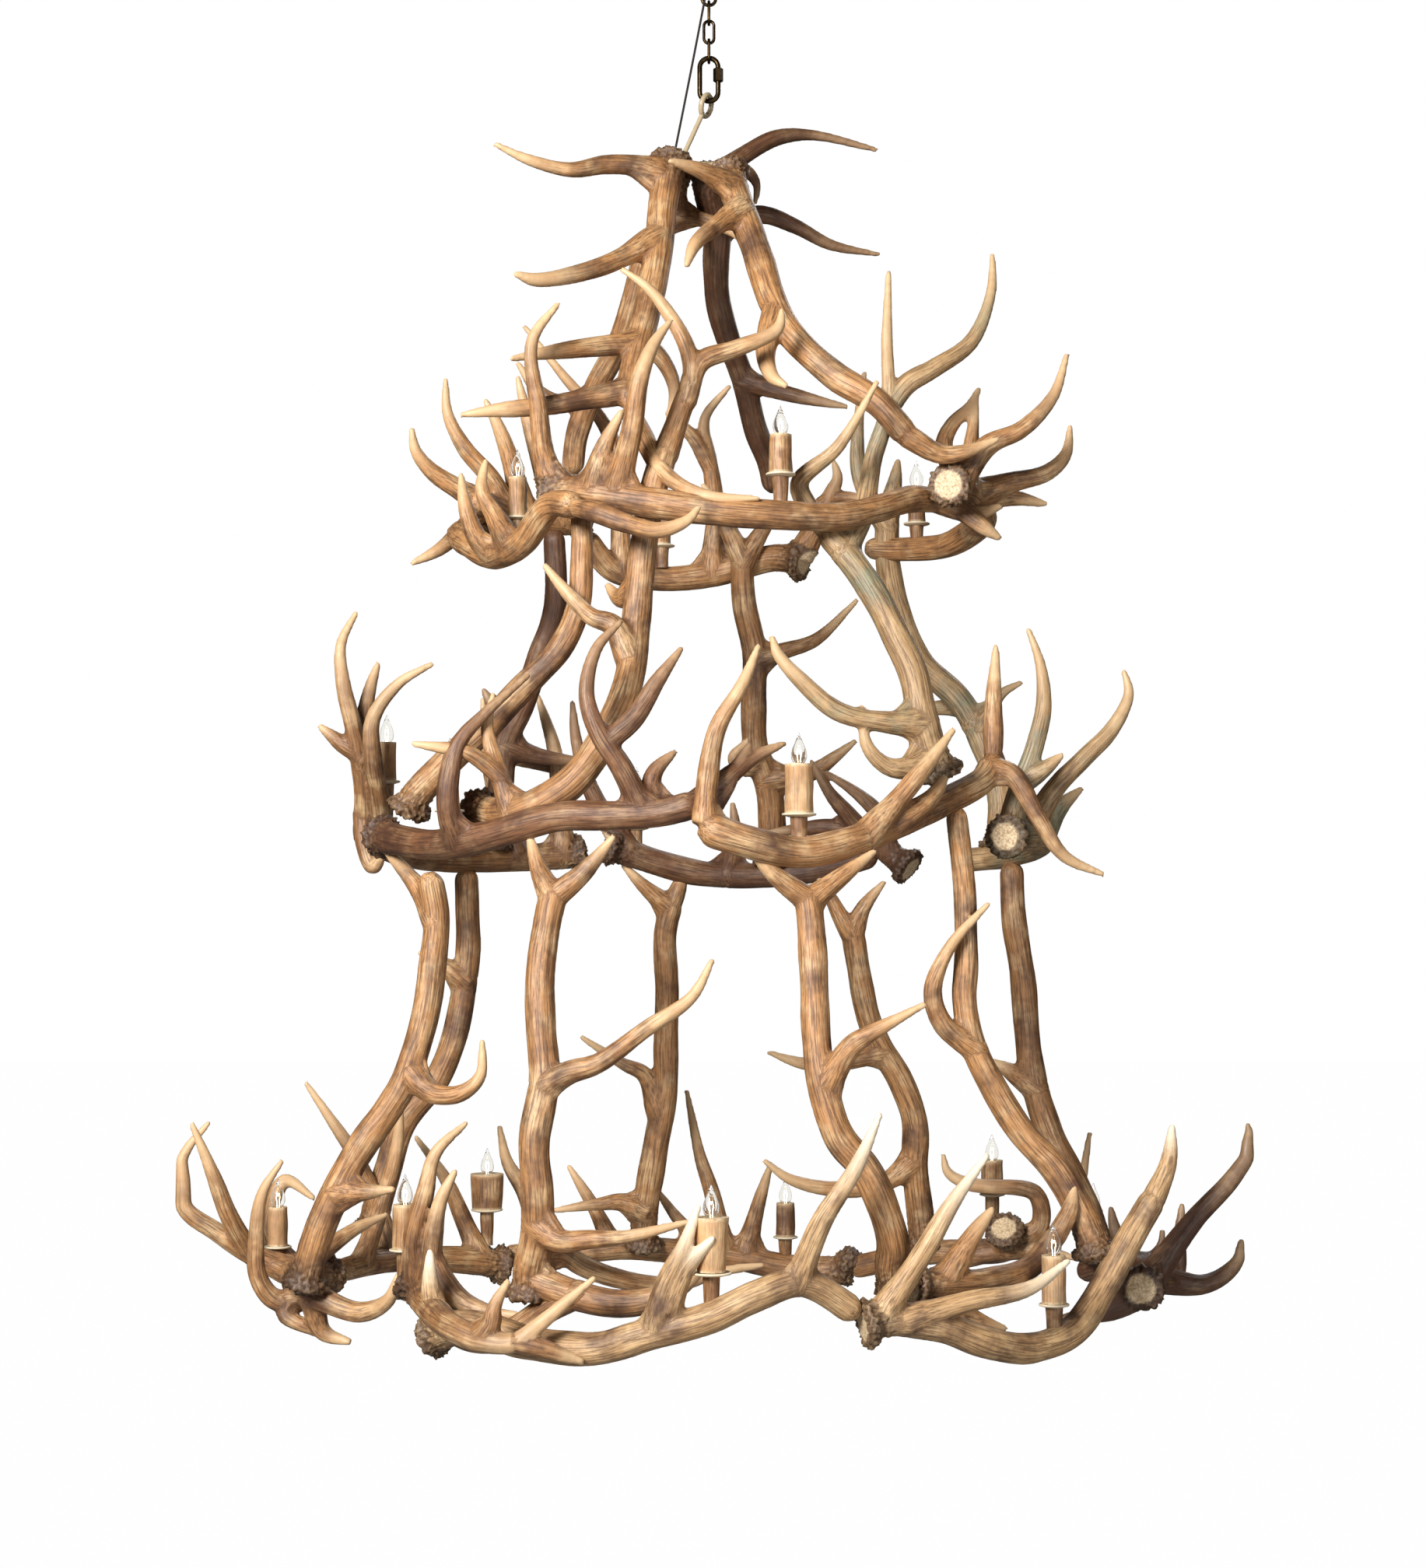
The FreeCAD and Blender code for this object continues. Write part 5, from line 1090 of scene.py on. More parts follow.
def bottom_ring():
    """Antlers laid round the bottom ring, the widest."""
    antler("antler_bottom_left", [
        (-645, -580, 160), (-690, -578, 60), (-702, -580, -50), (-690, -606, -140), (-664, -613, -217)], [
        [(-700, -575, 0), (-781, -540, -20), (-835, -505, -30), (-887, -467, -35), (-902, -415, -35),
         (-887, -367, -35), (-848, -319, -32)],
        [(-775, -543, -18), (-815, -476, -62), (-843, -405, -78), (-879, -321, -90)],
        [(-680, -615, -160), (-733, -619, -172), (-763, -581, -182), (-767, -509, -190),
         (-757, -439, -196), (-724, -384, -200)],
        [(-668, -613, -204), (-591, -640, -232), (-543, -620, -262), (-525, -575, -285)],
        [(-672, -612, -194), (-653, -672, -190), (-605, -691, -205)],
        [(-700, -576, 20), (-745, -500, 82), (-720, -419, 96), (-668, -450, 92)]])
    antler("antler_bottom_front_left", [
        (-500, -585, -330), (-481, -615, -352), (-443, -657, -395), (-391, -682, -447),
        (-332, -676, -486), (-270, -633, -518), (-201, -600, -548)], [
        [(-490, -600, -342), (-500, -524, -382), (-481, -439, -390), (-463, -372, -388),
         (-409, -319, -375)],
        [(-478, -618, -356), (-470, -540, -404), (-456, -457, -414), (-429, -400, -412)]])
    antler("antler_bottom_front", [
        (-467, -676, -452), (-400, -664, -512), (-304, -691, -566), (-193, -701, -612),
        (-111, -680, -634), (0, -650, -642), (83, -612, -636), (160, -590, -618), (255, -643, -596)], [
        [(-455, -674, -465), (-470, -600, -478), (-472, -533, -480)],
        [(-90, -672, -636), (-74, -600, -650), (-42, -531, -652), (-16, -459, -645)],
        [(-70, -640, -645), (-40, -570, -660), (11, -513, -664)],
        [(150, -592, -620), (193, -487, -640), (249, -400, -640), (293, -304, -630)]])
    antler("antler_bottom_front_right", [
        (264, -661, -592), (313, -652, -580), (389, -662, -556), (465, -689, -520), (543, -700, -465),
        (619, -669, -405), (669, -597, -360), (718, -510, -332), (760, -440, -315)], [
        [(285, -655, -588), (364, -540, -590), (415, -455, -585), (476, -373, -575)],
        [(330, -655, -578), (440, -622, -560), (543, -600, -530), (613, -552, -500)],
        [(755, -450, -318), (780, -390, -305), (788, -323, -295)]])
    antler("antler_bottom_right_inner", [
        (347, -598, -480), (410, -595, -452), (465, -590, -425), (543, -565, -378), (593, -507, -350)], [
        [(588, -515, -352), (612, -470, -340), (621, -425, -330)],
        [(395, -597, -457), (451, -507, -440), (484, -463, -430)]], end=0.8)
    antler("antler_bottom_right", [
        (733, -600, -270), (748, -588, -180), (752, -575, -60), (735, -566, 60), (690, -557, 180),
        (632, -572, 280)], [
        [(742, -592, -215), (823, -485, -200), (889, -415, -190), (922, -359, -182), (915, -322, -178)],
        [(750, -582, -120), (839, -593, -110), (889, -563, -102), (912, -516, -95)],
        [(752, -576, -70), (788, -577, -60), (797, -516, -55), (803, -457, -52)]])
    antler("antler_bottom_rear_right", [
        (500, -500, 372), (505, -530, 420), (450, -539, 462), (370, -540, 503), (238, -566, 584)], [
        [(500, -522, 405), (560, -495, 395), (553, -440, 385), (440, -424, 380), (405, -404, 378),
         (397, -373, 376)],
        [(505, -530, 412), (568, -530, 395), (620, -460, 388), (647, -337, 380)]])
    antler("antler_bottom_rear", [
        (240, -570, 582), (139, -566, 610), (40, -545, 622), (-50, -537, 608), (-150, -532, 585),
        (-240, -540, 568), (-350, -546, 515)], [
        [(60, -548, 620), (83, -459, 604), (105, -387, 592)],
        [(25, -542, 622), (5, -441, 628), (-16, -376, 622), (-39, -265, 612)],
        [(-160, -538, 598), (-193, -469, 602), (-240, -392, 598)],
        [(-285, -542, 550), (-312, -440, 552), (-343, -387, 548), (-357, -325, 540)]])
    antler("antler_bottom_rear_left", [
        (-350, -560, 508), (-420, -552, 452), (-500, -550, 372), (-570, -556, 280), (-625, -570, 195)], [
        [(-385, -556, 482), (-420, -476, 478), (-448, -415, 468), (-500, -343, 458)],
        [(-535, -552, 330), (-560, -470, 322), (-600, -380, 312), (-643, -315, 304), (-687, -252, 296)],
        [(-590, -560, 250), (-560, -470, 240), (-530, -360, 228), (-525, -270, 220)]])


# ---------------------------------------------------------------- further tines
# Tines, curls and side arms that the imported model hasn't: each as its stoutness and its route of
# (x, z, y) in drawn millimetres.
FURTHER_TINES = {
    "antler_apex_rear_left": [
        (0.85, [(-66, 1240, 62), (-35, 1240, 50), (10, 1228, 36), (40, 1213, 18), (72, 1188, -20)])],
    "antler_apex_rear_right": [
        (0.7, [(4, 1318, 30), (45, 1325, 40), (70, 1316, 40), (83, 1294, 38), (79, 1262, 36)])],
    "antler_top_rear": [
        (1.0, [(155, 645, 320), (190, 712, 310), (210, 757, 302), (221, 784, 298), (214, 815, 296)]),
        (0.8, [(175, 700, 312), (200, 745, 304), (248, 750, 292), (304, 736, 270)])],
    "antler_top_right": [
        (1.0, [(440, 765, -150), (420, 800, -135), (405, 842, -122), (420, 877, -112), (449, 907, -104),
               (467, 941, -100)])],
    "antler_upper_rear_right": [
        (1.1, [(307, 700, 264), (280, 740, 262), (258, 795, 262), (257, 873, 262), (268, 969, 262)]),
        (0.75, [(462, 345, 298), (480, 380, 284), (503, 412, 276), (537, 431, 270)])],
    "antler_upper_front_centre_left": [
        (1.0, [(-330, 200, -400), (-345, 234, -400), (-361, 283, -394), (-379, 352, -386), (-368, 412, -380)]),
        (0.8, [(-352, 262, -398), (-382, 290, -404), (-417, 312, -412), (-465, 319, -418), (-508, 325, -422)])],
    "antler_middle_rear": [
        (0.9, [(-205, 258, 422), (-250, 281, 418), (-300, 290, 414), (-350, 294, 410)])],
    "antler_middle_left": [
        (1.0, [(-590, 290, -88), (-592, 350, -72), (-582, 415, -56), (-567, 465, -46)]),
        (0.9, [(-592, 210, -42), (-588, 150, -52), (-574, 114, -62), (-563, 125, -72), (-561, 186, -82)]),
        (1.0, [(-330, 135, 378), (-350, 190, 374), (-372, 260, 368), (-383, 330, 362), (-388, 404, 358)])],
    "antler_middle_front_left": [
        (0.9, [(-6, 205, -503), (12, 225, -496), (32, 253, -488), (51, 291, -480), (72, 327, -474)]),
        (1.0, [(-20, 222, -508), (0, 196, -514), (22, 165, -518), (46, 137, -520)])],
    "antler_middle_rear_right": [
        (1.0, [(250, 178, 372), (200, 182, 380), (150, 178, 388), (95, 172, 396)])],
    "antler_lower_front_centre_left": [
        (1.35, [(-300, -585, -514), (-244, -606, -530), (-169, -624, -545), (-110, -622, -552),
                (-50, -598, -556), (-12, -561, -556), (10, -521, -552)]),
        (1.0, [(-290, -535, -510), (-250, -540, -490), (-207, -565, -478), (-132, -588, -468),
               (-50, -592, -460), (20, -572, -455), (95, -560, -452)])],
    "antler_bottom_left": [
        (1.0, [(-695, -572, 60), (-650, -535, 110), (-600, -500, 160), (-545, -475, 200)]),
        (0.9, [(-700, -612, -165), (-716, -642, -175), (-665, -670, -185), (-604, -689, -198)])],
    "antler_bottom_front_left": [
        (1.25, [(-481, -612, -352), (-480, -622, -430), (-455, -650, -520), (-428, -668, -590),
                (-380, -688, -628), (-325, -690, -640), (-290, -664, -642), (-240, -622, -640),
                (-190, -580, -636)]),
        (0.9, [(-325, -690, -640), (-280, -700, -642), (-245, -712, -640), (-210, -724, -634)]),
        (0.9, [(-390, -684, -622), (-368, -660, -634), (-362, -630, -636), (-338, -585, -630)]),
        (1.35, [(-470, -540, -402), (-456, -582, -408), (-420, -622, -418), (-370, -642, -436),
                (-316, -645, -456)])],
    "antler_bottom_rear": [
        (0.9, [(-10, -535, 612), (-30, -510, 606), (-60, -475, 602), (-92, -430, 598)])],
    "antler_bottom_rear_right": [
        (1.0, [(430, -545, 455), (500, -538, 420), (560, -535, 380), (625, -550, 330)])],
    "antler_bottom_right_inner": [
        (1.1, [(400, -605, -440), (425, -640, -430), (460, -655, -420), (505, -668, -405)])],
    "antler_bottom_right": [
        (0.6, [(735, -566, 60), (724, -550, 75), (748, -547, 85), (765, -528, 88), (769, -500, 88)]),
        (1.0, [(738, -575, 20), (712, -545, 40), (690, -505, 50), (681, -462, 52)]),
        (1.3, [(742, -595, -250), (700, -625, -258), (650, -643, -264), (590, -650, -268)])],
}
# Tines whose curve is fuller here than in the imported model: (node, place in its list) and the route.
FULLER_TINES = {
    ("antler_apex_front_left", 0): [(-88, 1318, -50), (-135, 1330, -68), (-181, 1331, -85), (-240, 1322, -112),
                                    (-313, 1340, -136), (-372, 1368, -150)],
    ("antler_upper_rear_right", 0): [(455, 355, 302), (448, 376, 318), (405, 387, 335), (352, 377, 342),
                                     (314, 360, 344)],
}


def tines_of(node, tines):
    """All the tines of an antler as (stoutness, route): its packed ones and the further ones."""
    own = [(1.0, FULLER_TINES.get((node, number), tine)) for number, tine in enumerate(tines)]
    return own + FURTHER_TINES.get(node, [])


# ---------------------------------------------------------------- candle lights
LIGHTS = []


def light(x, z, y, width, top_width, height, stub):
    """Notes one light: its dish's drawn place and, in millimetres, its sleeve's widths, height and stub."""
    LIGHTS.append((laid(x, z, y), width * MM, top_width * MM, height * MM, stub * MM))


def place_lights():
    """The sixteen lights: four to the top ring, four to the middle ring and eight to the bottom ring."""
    light(-329, 716, -200, 34, 31, 66, 42)
    light(124, 792, -372, 40, 36, 62, 52)
    light(357, 706, 222, 34, 32, 66, 34)
    light(-81, 668, 352, 34, 32, 66, 38)
    light(-552, 262, 22, 36, 34, 66, 84)
    light(-443, 212, -362, 34, 30, 66, 48)
    light(-125, 182, 446, 34, 32, 66, 34)
    light(155, 206, -488, 46, 44, 76, 50)
    light(-731, -528, 20, 36, 34, 66, 42)
    light(-515, -533, -315, 42, 40, 70, 47)
    light(-377, -466, 490, 52, 40, 66, 62)
    light(5, -572, -634, 54, 46, 80, 50)
    light(129, -512, 616, 38, 36, 64, 34)
    light(480, -440, 446, 40, 38, 62, 78)
    light(585, -625, -428, 40, 38, 74, 40)
    light(652, -520, 270, 36, 34, 56, 34)


RIM_BAND = 7 * MM
CUT_EDGE = 0.2 * MM


def grained(thing, cuts, seed, shade, pale=0.0, rim=0.0):
    """Gives an upright antler piece its grain, cut ends and shade, and how pale it and its rim are."""
    spots = read(thing.data.vertices, "co", 3)
    heights = spots[:, 2]
    wear = np.zeros_like(spots)
    wear[:, 0] = pale + (1 - pale) * rim * steep(heights, heights.max() - RIM_BAND, heights.max())
    for height in cuts:
        wear[np.abs(heights - height) < CUT_EDGE, 2] = 1.0
    note(thing.data, grain=spots + (0.0, 0.0, seed), wear=wear, shade=np.full(len(spots), shade))
    return thing


# Skin of the sleeves and stubs: its grooves and swells across and along, how much each counts, how far
# the skin is drawn in as a whole, the unit of all three, and the wall round the bore that stays true.
SKIN_GROOVE = 5 * MM
SKIN_GROOVE_RUN = 60 * MM
SKIN_SWELL = 20 * MM
SKIN_SWELL_RUN = 30 * MM
SKIN_GROOVE_SHARE = 0.9
SKIN_SWELL_SHARE = 1.4
SKIN_SINK = 0.9
SKIN_RISE = 0.9 * MM
TRUE_WALL = 1.5 * MM


def roughened(thing, seed):
    """Pushes the sides of an upright antler piece in, unevenly. Its bore and its flat ends stay."""
    for vertex in thing.data.vertices:
        place = vertex.co
        reach = math.hypot(place.x, place.y)
        if reach < sizes().sleeve_bore / 2 + TRUE_WALL:
            continue
        groove = noise.noise(Vector((place.x / SKIN_GROOVE + seed, place.y / SKIN_GROOVE,
                                     place.z / SKIN_GROOVE_RUN)))
        swell = noise.noise(Vector((place.x / SKIN_SWELL, place.y / SKIN_SWELL + seed,
                                    place.z / SKIN_SWELL_RUN)))
        share = 1 + (groove * SKIN_GROOVE_SHARE + swell * SKIN_SWELL_SHARE - SKIN_SINK) * SKIN_RISE / reach
        vertex.co = (place.x * share, place.y * share, place.z)
    return thing


def joined(name, things):
    """All the things as one."""
    first = things[0]
    with bpy.context.temp_override(active_object=first, object=first, selected_editable_objects=things,
                                   selected_objects=things):
        bpy.ops.object.join()
    first.name = name
    first.data.name = name
    return first


def creased(thing, degrees=40):
    """Smooth shading that keeps the edges sharper than an angle."""
    thing.data.shade_smooth()
    thing.data.set_sharp_from_angle(angle=math.radians(degrees))
    return thing


SLEEVE_STEPS = 14
SLEEVE_SIDES = 40
SLEEVE_RIM = 0.9
STUB_SIDES = 24
STUB_SHADE = 0.55
STUB_FOOT = 0.85
# How dark and how pale each sleeve is, in the order of the lights.
SLEEVE_TONES = (
    (0.3, 0.1), (0.35, 0.0), (0.3, 0.0), (0.3, 0.0), (0.0, 0.25), (0.0, 0.5), (0.1, 0.2), (0.1, 0.25),
    (0.1, 0.25), (0.25, 0.1), (0.4, 0.0), (0.0, 0.25), (0.65, 0.0), (0.6, 0.0), (0.15, 0.2), (0.3, 0.2),
)
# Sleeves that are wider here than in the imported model: bottom and top width of a light, by its number.
WIDER_SLEEVES = {10: (58 * MM, 64 * MM), 11: (44 * MM, 54 * MM), 13: (42 * MM, 42 * MM)}


def upright_side(foot, top, height):
    """Outline of an upright piece's side, from its foot's radius to its top's."""
    shares = [step / SLEEVE_STEPS for step in range(SLEEVE_STEPS + 1)]
    return [(foot + (top - foot) * share, height * share) for share in shares]


def make_sleeves(material):
    """Antler sections with a rough skin, sawn flat and bored for the sockets."""
    bore = sizes().sleeve_bore / 2
    things = []
    for number, (dish, width, top_width, height, _) in enumerate(LIGHTS):
        width, top_width = WIDER_SLEEVES.get(number, (width, top_width))
        rim = (top_width / 2 + bore) / 2
        outline = [(bore, 0), *upright_side(width / 2, top_width / 2, height), (rim, height), (bore, height),
                   (bore, height / 2), (bore, 0)]
        thing = roughened(spun("sleeve", outline, SLEEVE_SIDES, material), number * 2.3)
        shade, pale = SLEEVE_TONES[number]
        grained(thing, (0, height), number * 0.7, shade, pale, SLEEVE_RIM)
        things.append(moved(thing, dish))
    return creased(joined("antler_sleeves", things), degrees=55)


def make_stubs(material):
    """Short antler ends, sawn flat under the dishes."""
    size = sizes()
    wide = size.stub / 2
    things = []
    for number, (dish, _, _, _, length) in enumerate(LIGHTS):
        outline = [(0, 0), *upright_side(wide * STUB_FOOT, wide, length), (0, length)]
        thing = roughened(spun("stub", outline, STUB_SIDES, material), number * 1.9)
        grained(thing, (), number * 0.9, STUB_SHADE)
        things.append(moved(thing, dish - Vector((0, 0, size.dish_thickness + length))))
    return creased(joined("antler_stubs", things), degrees=55)


def stood(name, piece, material, scales=None, on_socket=False):
    """Copies of one piece as one plain mesh, one on each light's dish or at its socket's top."""
    mesh = bpy.data.meshes.new(name)
    inset = sizes().socket_inset
    places = [dish + Vector((0, 0, height - inset if on_socket else 0)) for dish, _, _, height, _ in LIGHTS]
    mesh.from_pydata([tuple(place) for place in places], [], [])
    note(mesh, size=np.array(scales or [(1.0, 1.0, 1.0)] * len(LIGHTS)))
    thing = link(name, mesh)
    run_tree(thing, stand_on_points, {"Piece": piece, "Material": material})
    made = baked(thing, name)
    bpy.data.objects.remove(piece)
    return made


def bead(radius, height, depth, steps=5):
    """Outline of a half-round rim from its lower edge to its upper edge."""
    made = []
    for k in range(steps + 1):
        turn = -math.pi / 2 + math.pi * k / steps
        made.append((radius - depth + depth * math.cos(turn), height + depth * math.sin(turn)))
    return made


# How far a dish reaches past a wide sleeve, its flutes, and shares of its radius and thickness: its foot
# and waist, its beaded rim and its hollow top.
DISH_LEDGE = 8 * MM
DISH_FLUTES = 30
DISH_FLUTE_DEPTH = 0.35 * MM
DISH_SIDES = 48
DISH_FOOT = ((0, 1), (0.62, 1), (0.72, 0.86))
DISH_RIM = 0.32
DISH_TOP = ((0.86, 0.22), (0, 0.16))


def make_dishes(material):
    """Ivory drip dishes with a soft beaded rim and a slightly hollow top."""
    size = sizes()
    wide = size.dish / 2
    thick = size.dish_thickness
    foot, top = ([(wide * out, -thick * down) for out, down in shares] for shares in (DISH_FOOT, DISH_TOP))
    outline = [*foot, *bead(wide, -thick * DISH_RIM, thick * DISH_RIM), *top]
    piece = spun("dish", outline, DISH_SIDES, None, flutes=DISH_FLUTES, flute_depth=DISH_FLUTE_DEPTH)
    scales = []
    for _, width, _, _, _ in LIGHTS:
        share = max(size.dish, width + DISH_LEDGE) / size.dish
        scales.append((share, share, 1.0))
    return creased(stood("drip_dishes", piece, material, scales))


SOCKET_SIDES = 28
# A socket is drawn 1 m tall and scaled to its sleeve: how far up its well's floor is, and its play.
SOCKET_WELL = 0.7
SOCKET_PLAY = 0.3 * MM


def make_sockets(material):
    """Phenolic lamp sockets, open at the top."""
    size = sizes()
    wide = size.socket / 2
    bore = size.base / 2 + SOCKET_PLAY
    outline = [(0, 0), (wide, 0), (wide, 1.0), (bore, 1.0), (bore, SOCKET_WELL), (0, SOCKET_WELL)]
    scales = [(1.0, 1.0, height - size.socket_inset) for _, _, _, height, _ in LIGHTS]
    return creased(stood("phenolic_sockets", spun("socket", outline, SOCKET_SIDES), material, scales))


# Shares of a bulb's length and of its radius.
FLAME = ((0, 0.38), (0.05, 0.46), (0.11, 0.7), (0.18, 0.88), (0.26, 0.97), (0.34, 0.985), (0.43, 0.94),
         (0.52, 0.84), (0.61, 0.69), (0.7, 0.53), (0.79, 0.37), (0.88, 0.22), (0.95, 0.12), (0.985, 0.06))
GLASS_WALL = 0.6 * MM
GLASS_SIDES = 32


def make_bulbs(material):
    """Blown flame-tip bulbs: an outer and an inner wall of glass."""
    size = sizes()
    wide = size.bulb / 2
    long = size.bulb_length
    outside = [(0, 0), *[(wide * width, long * rise) for rise, width in FLAME], (0, long * 0.998)]
    inside = [(0, GLASS_WALL)]
    inside += [(wide * width - GLASS_WALL, long * rise + GLASS_WALL) for rise, width in FLAME[:-3]]
    inside.append((0, long * 0.9))
    wall = spun("wall", outside, GLASS_SIDES)
    hollow = spun("hollow", inside, GLASS_SIDES)
    hollow.data.flip_normals()
    return smooth(stood("flame_bulbs", joined("bulb", [wall, hollow]), material, on_socket=True))


# A filament on its leads: places in x and z, and the wire's radius.
FILAMENT = ((-1.6, 2), (-2.1, 12), (-2.9, 21), (-1.4, 27), (0, 22), (1.4, 27), (2.9, 21), (2.1, 12), (1.6, 2))
FILAMENT_RADIUS = 0.42 * MM


def make_filaments(material):
    """Lit filaments on their leads inside the glass."""
    points = [Vector((x, 0, z)) * MM for x, z in FILAMENT]
    line = follow(points, lambda share: FILAMENT_RADIUS, 1.5 * MM)
    piece = bar("filament", [line], 6, material)
    return smooth(stood("filaments", piece, material, on_socket=True))


THREADS = 6
THREAD_DEPTH = 0.55 * MM


def threaded(radius, low, high, turns, depth):
    """Outline of rounded thread ridges between two heights."""
    made = []
    steps = turns * 6
    for k in range(steps + 1):
        share = k / steps
        made.append((radius - depth * (0.5 + 0.5 * math.cos(2 * math.pi * turns * share)),
                     low + (high - low) * share))
    return made


def make_bases(material):
    """Screw bases of the bulbs."""
    size = sizes()
    wide = size.base / 2
    long = size.base_length
    ridges = threaded(wide, -0.8 * long, -0.12 * long, THREADS, THREAD_DEPTH)
    outline = [(0, -long), (wide * 0.45, -long), (wide * 0.55, -0.92 * long), *ridges, (wide, -0.05 * long),
               (wide, 0), (0, 0)]
    piece = spun("base", outline, SOCKET_SIDES)
    return creased(stood("screw_bases", piece, material, on_socket=True))


# ---------------------------------------------------------------- chain, quick link and screw eye
WIRE_SIDES = 18
BOW_STEPS = 14
RING_STEPS = 48


def joint_height(name):
    """Height of a joint's pivot."""
    for joint in frame["joints"]:
        if joint["name"] == name:
            return joint["pos_m"][2]
    raise ValueError("no joint is called %s" % name)


def link_line(node, wire, turned):
    """Middle of a link's wire, worked out from its packed box: two bows joined by straight sides."""
    low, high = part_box(node)
    flat = 1 if turned else 0
    bow = (high[flat] - low[flat]) / 2 - wire
    middle = (high[flat] + low[flat]) / 2
    line = []
    for centre, first in ((high.z - wire - bow, 0.0), (low.z + wire + bow, math.pi)):
        for k in range(BOW_STEPS + 1):
            turn = first + math.pi * k / BOW_STEPS
            across = middle + bow * math.cos(turn)
            rise = centre + bow * math.sin(turn)
            line.append(Vector((0, across, rise)) if turned else Vector((across, 0, rise)))
    return line


def ring_line(centre, radius, rise, across):
    """Places round a circle, whose plane holds the two directions."""
    turns = [2 * math.pi * k / RING_STEPS for k in range(RING_STEPS)]
    return [centre + rise * (radius * math.cos(turn)) + across * (radius * math.sin(turn)) for turn in turns]


# Radii of the wires, 0.05 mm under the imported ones.
CHAIN_WIRE = 2.7 * MM
QUICK_WIRE = 4.45 * MM
LOOP_WIRE = 2.95 * MM
EYE_WIRE = 4.95 * MM
SHANK_RADIUS = 4.2 * MM
SHANK_LENGTH = 155 * MM
EYE_INNER = 26 * MM
EYE_GAP = 0.8 * MM
EYE_LEAN = math.radians(25)
EYE_HEADING = math.radians(205)
EYE_TURN = math.radians(25)


def make_links(material):
    """The three chain links."""
    for number in (1, 2, 3):
        node = "chain_link_%d" % number
        line = link_line(node, CHAIN_WIRE, turned=number % 2 == 1)
        wire = (line, [CHAIN_WIRE] * len(line))
        thing = bar("brass_link_%d" % number, [wire], WIRE_SIDES, material, closed=True)
        stands_for(thing, node, node)


MOUTH = 5 * MM
NUT_CHAMFER = 1.4 * MM
ON_LINE = 0.1 * MM


def make_quick_link(material):
    """Quick link with a mouth under its nut, and the six-sided nut."""
    low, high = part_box("quick_link_nut")
    line = link_line("quick_link", QUICK_WIRE, turned=False)
    side = max(point.x for point in line)
    mouth = (low.z + high.z) / 2
    straight = [point for point in line if abs(point.x - side) < ON_LINE and point.z > mouth]
    turned = line.index(min(straight, key=lambda point: point.z))
    ordered = line[turned:] + line[:turned]
    path = [Vector((side, 0, mouth + MOUTH / 2)), *ordered, Vector((side, 0, mouth - MOUTH / 2))]
    thing = bar("quick_link_bar", [(path, [QUICK_WIRE] * len(path))], WIRE_SIDES, material)
    stands_for(thing, "quick_link", "quick_link")
    across = (high.y - low.y) / 2
    long = high.z - low.z
    outline = [(QUICK_WIRE, 0), (across - NUT_CHAMFER, 0), (across, NUT_CHAMFER),
               (across, long - NUT_CHAMFER), (across - NUT_CHAMFER, long), (QUICK_WIRE, long), (QUICK_WIRE, 0)]
    nut = spun("quick_link_hexagon", outline, 6, material)
    middle = (low + high) / 2
    moved(nut, (middle.x, middle.y, low.z))
    creased(nut, degrees=20)
    stands_for(nut, "quick_link_nut", "quick_link_nut")


def eye_frame():
    """Centre of the screw eye, its shank's direction, and up and across in the plane of the eye."""
    down = Vector((math.sin(EYE_LEAN) * math.cos(EYE_HEADING), math.sin(EYE_LEAN) * math.sin(EYE_HEADING),
                   -math.cos(EYE_LEAN)))
    level = Vector((0, 1, 0))
    level = (level - down * level.dot(down)).normalized()
    across = level * math.cos(EYE_TURN) + down.cross(level) * math.sin(EYE_TURN)
    normal = down.cross(across)
    rise = Vector((0, 0, 1))
    rise = (rise - normal * rise.dot(normal)).normalized()
    hung = Vector((0, 0, joint_height("chandelier_swing") + QUICK_WIRE + EYE_GAP + EYE_WIRE))
    return hung - rise * (EYE_INNER / 2 + EYE_WIRE), down, rise, normal.cross(rise)


EYE_SIDES = 20
EYE_SHARE = 0.97
EYE_SKIN = 0.9 * MM
EYE_EASING = 6


def make_eye(material):
    """Screw eye: a bent ring that flows into its shank, under thick enamel."""
    centre, down, rise, across = eye_frame()
    middle = EYE_INNER / 2 + EYE_WIRE
    ring = ring_line(centre, middle, rise, across)
    eye = bar("eye_ring", [(ring, [EYE_WIRE * EYE_SHARE] * RING_STEPS)], EYE_SIDES, material, closed=True)
    line = follow([centre + down * middle, centre + down * SHANK_LENGTH], lambda share: SHANK_RADIUS, 5 * MM)
    shank = bar("eye_shank", [line], EYE_SIDES, material)
    thing = joined("screw_eye", [eye, shank])
    skin = thing.modifiers.new("weld", "REMESH")
    skin.mode = "VOXEL"
    skin.voxel_size = EYE_SKIN
    flow = thing.modifiers.new("flow", "SMOOTH")
    flow.iterations = EYE_EASING
    thing = smooth(baked(thing, "screw_eye"))
    stands_for(thing, "eye_bolt")


# ---------------------------------------------------------------- ceiling fixture
CANOPY_WALL = 1.4 * MM
CANOPY_NECK = 12 * MM
CANOPY_SIDES = 96
# Shares of the dome's reach past its neck and of its depth, and its rolled rim.
DOME = ((0, 1.0), (0.17, 0.915), (0.42, 0.72), (0.66, 0.48), (0.85, 0.25), (0.96, 0.09))
RIM_HEIGHT = 0.035
RIM_ROLL = 0.9 * MM
WALL_SLANT = 0.7
NIPPLE_RADIUS = 4.9 * MM
CANOPY_HOLE = 5.05 * MM
COLLAR_HOLE = 5.02 * MM
COLLAR_EDGE = 0.8 * MM
KNURLS = 48
KNURL_DEPTH = 0.45 * MM
KNURL_SIDES = 192
NIPPLE_THREADS = 16
NIPPLE_THREAD_DEPTH = 0.45 * MM
NIPPLE_NECK = 0.62


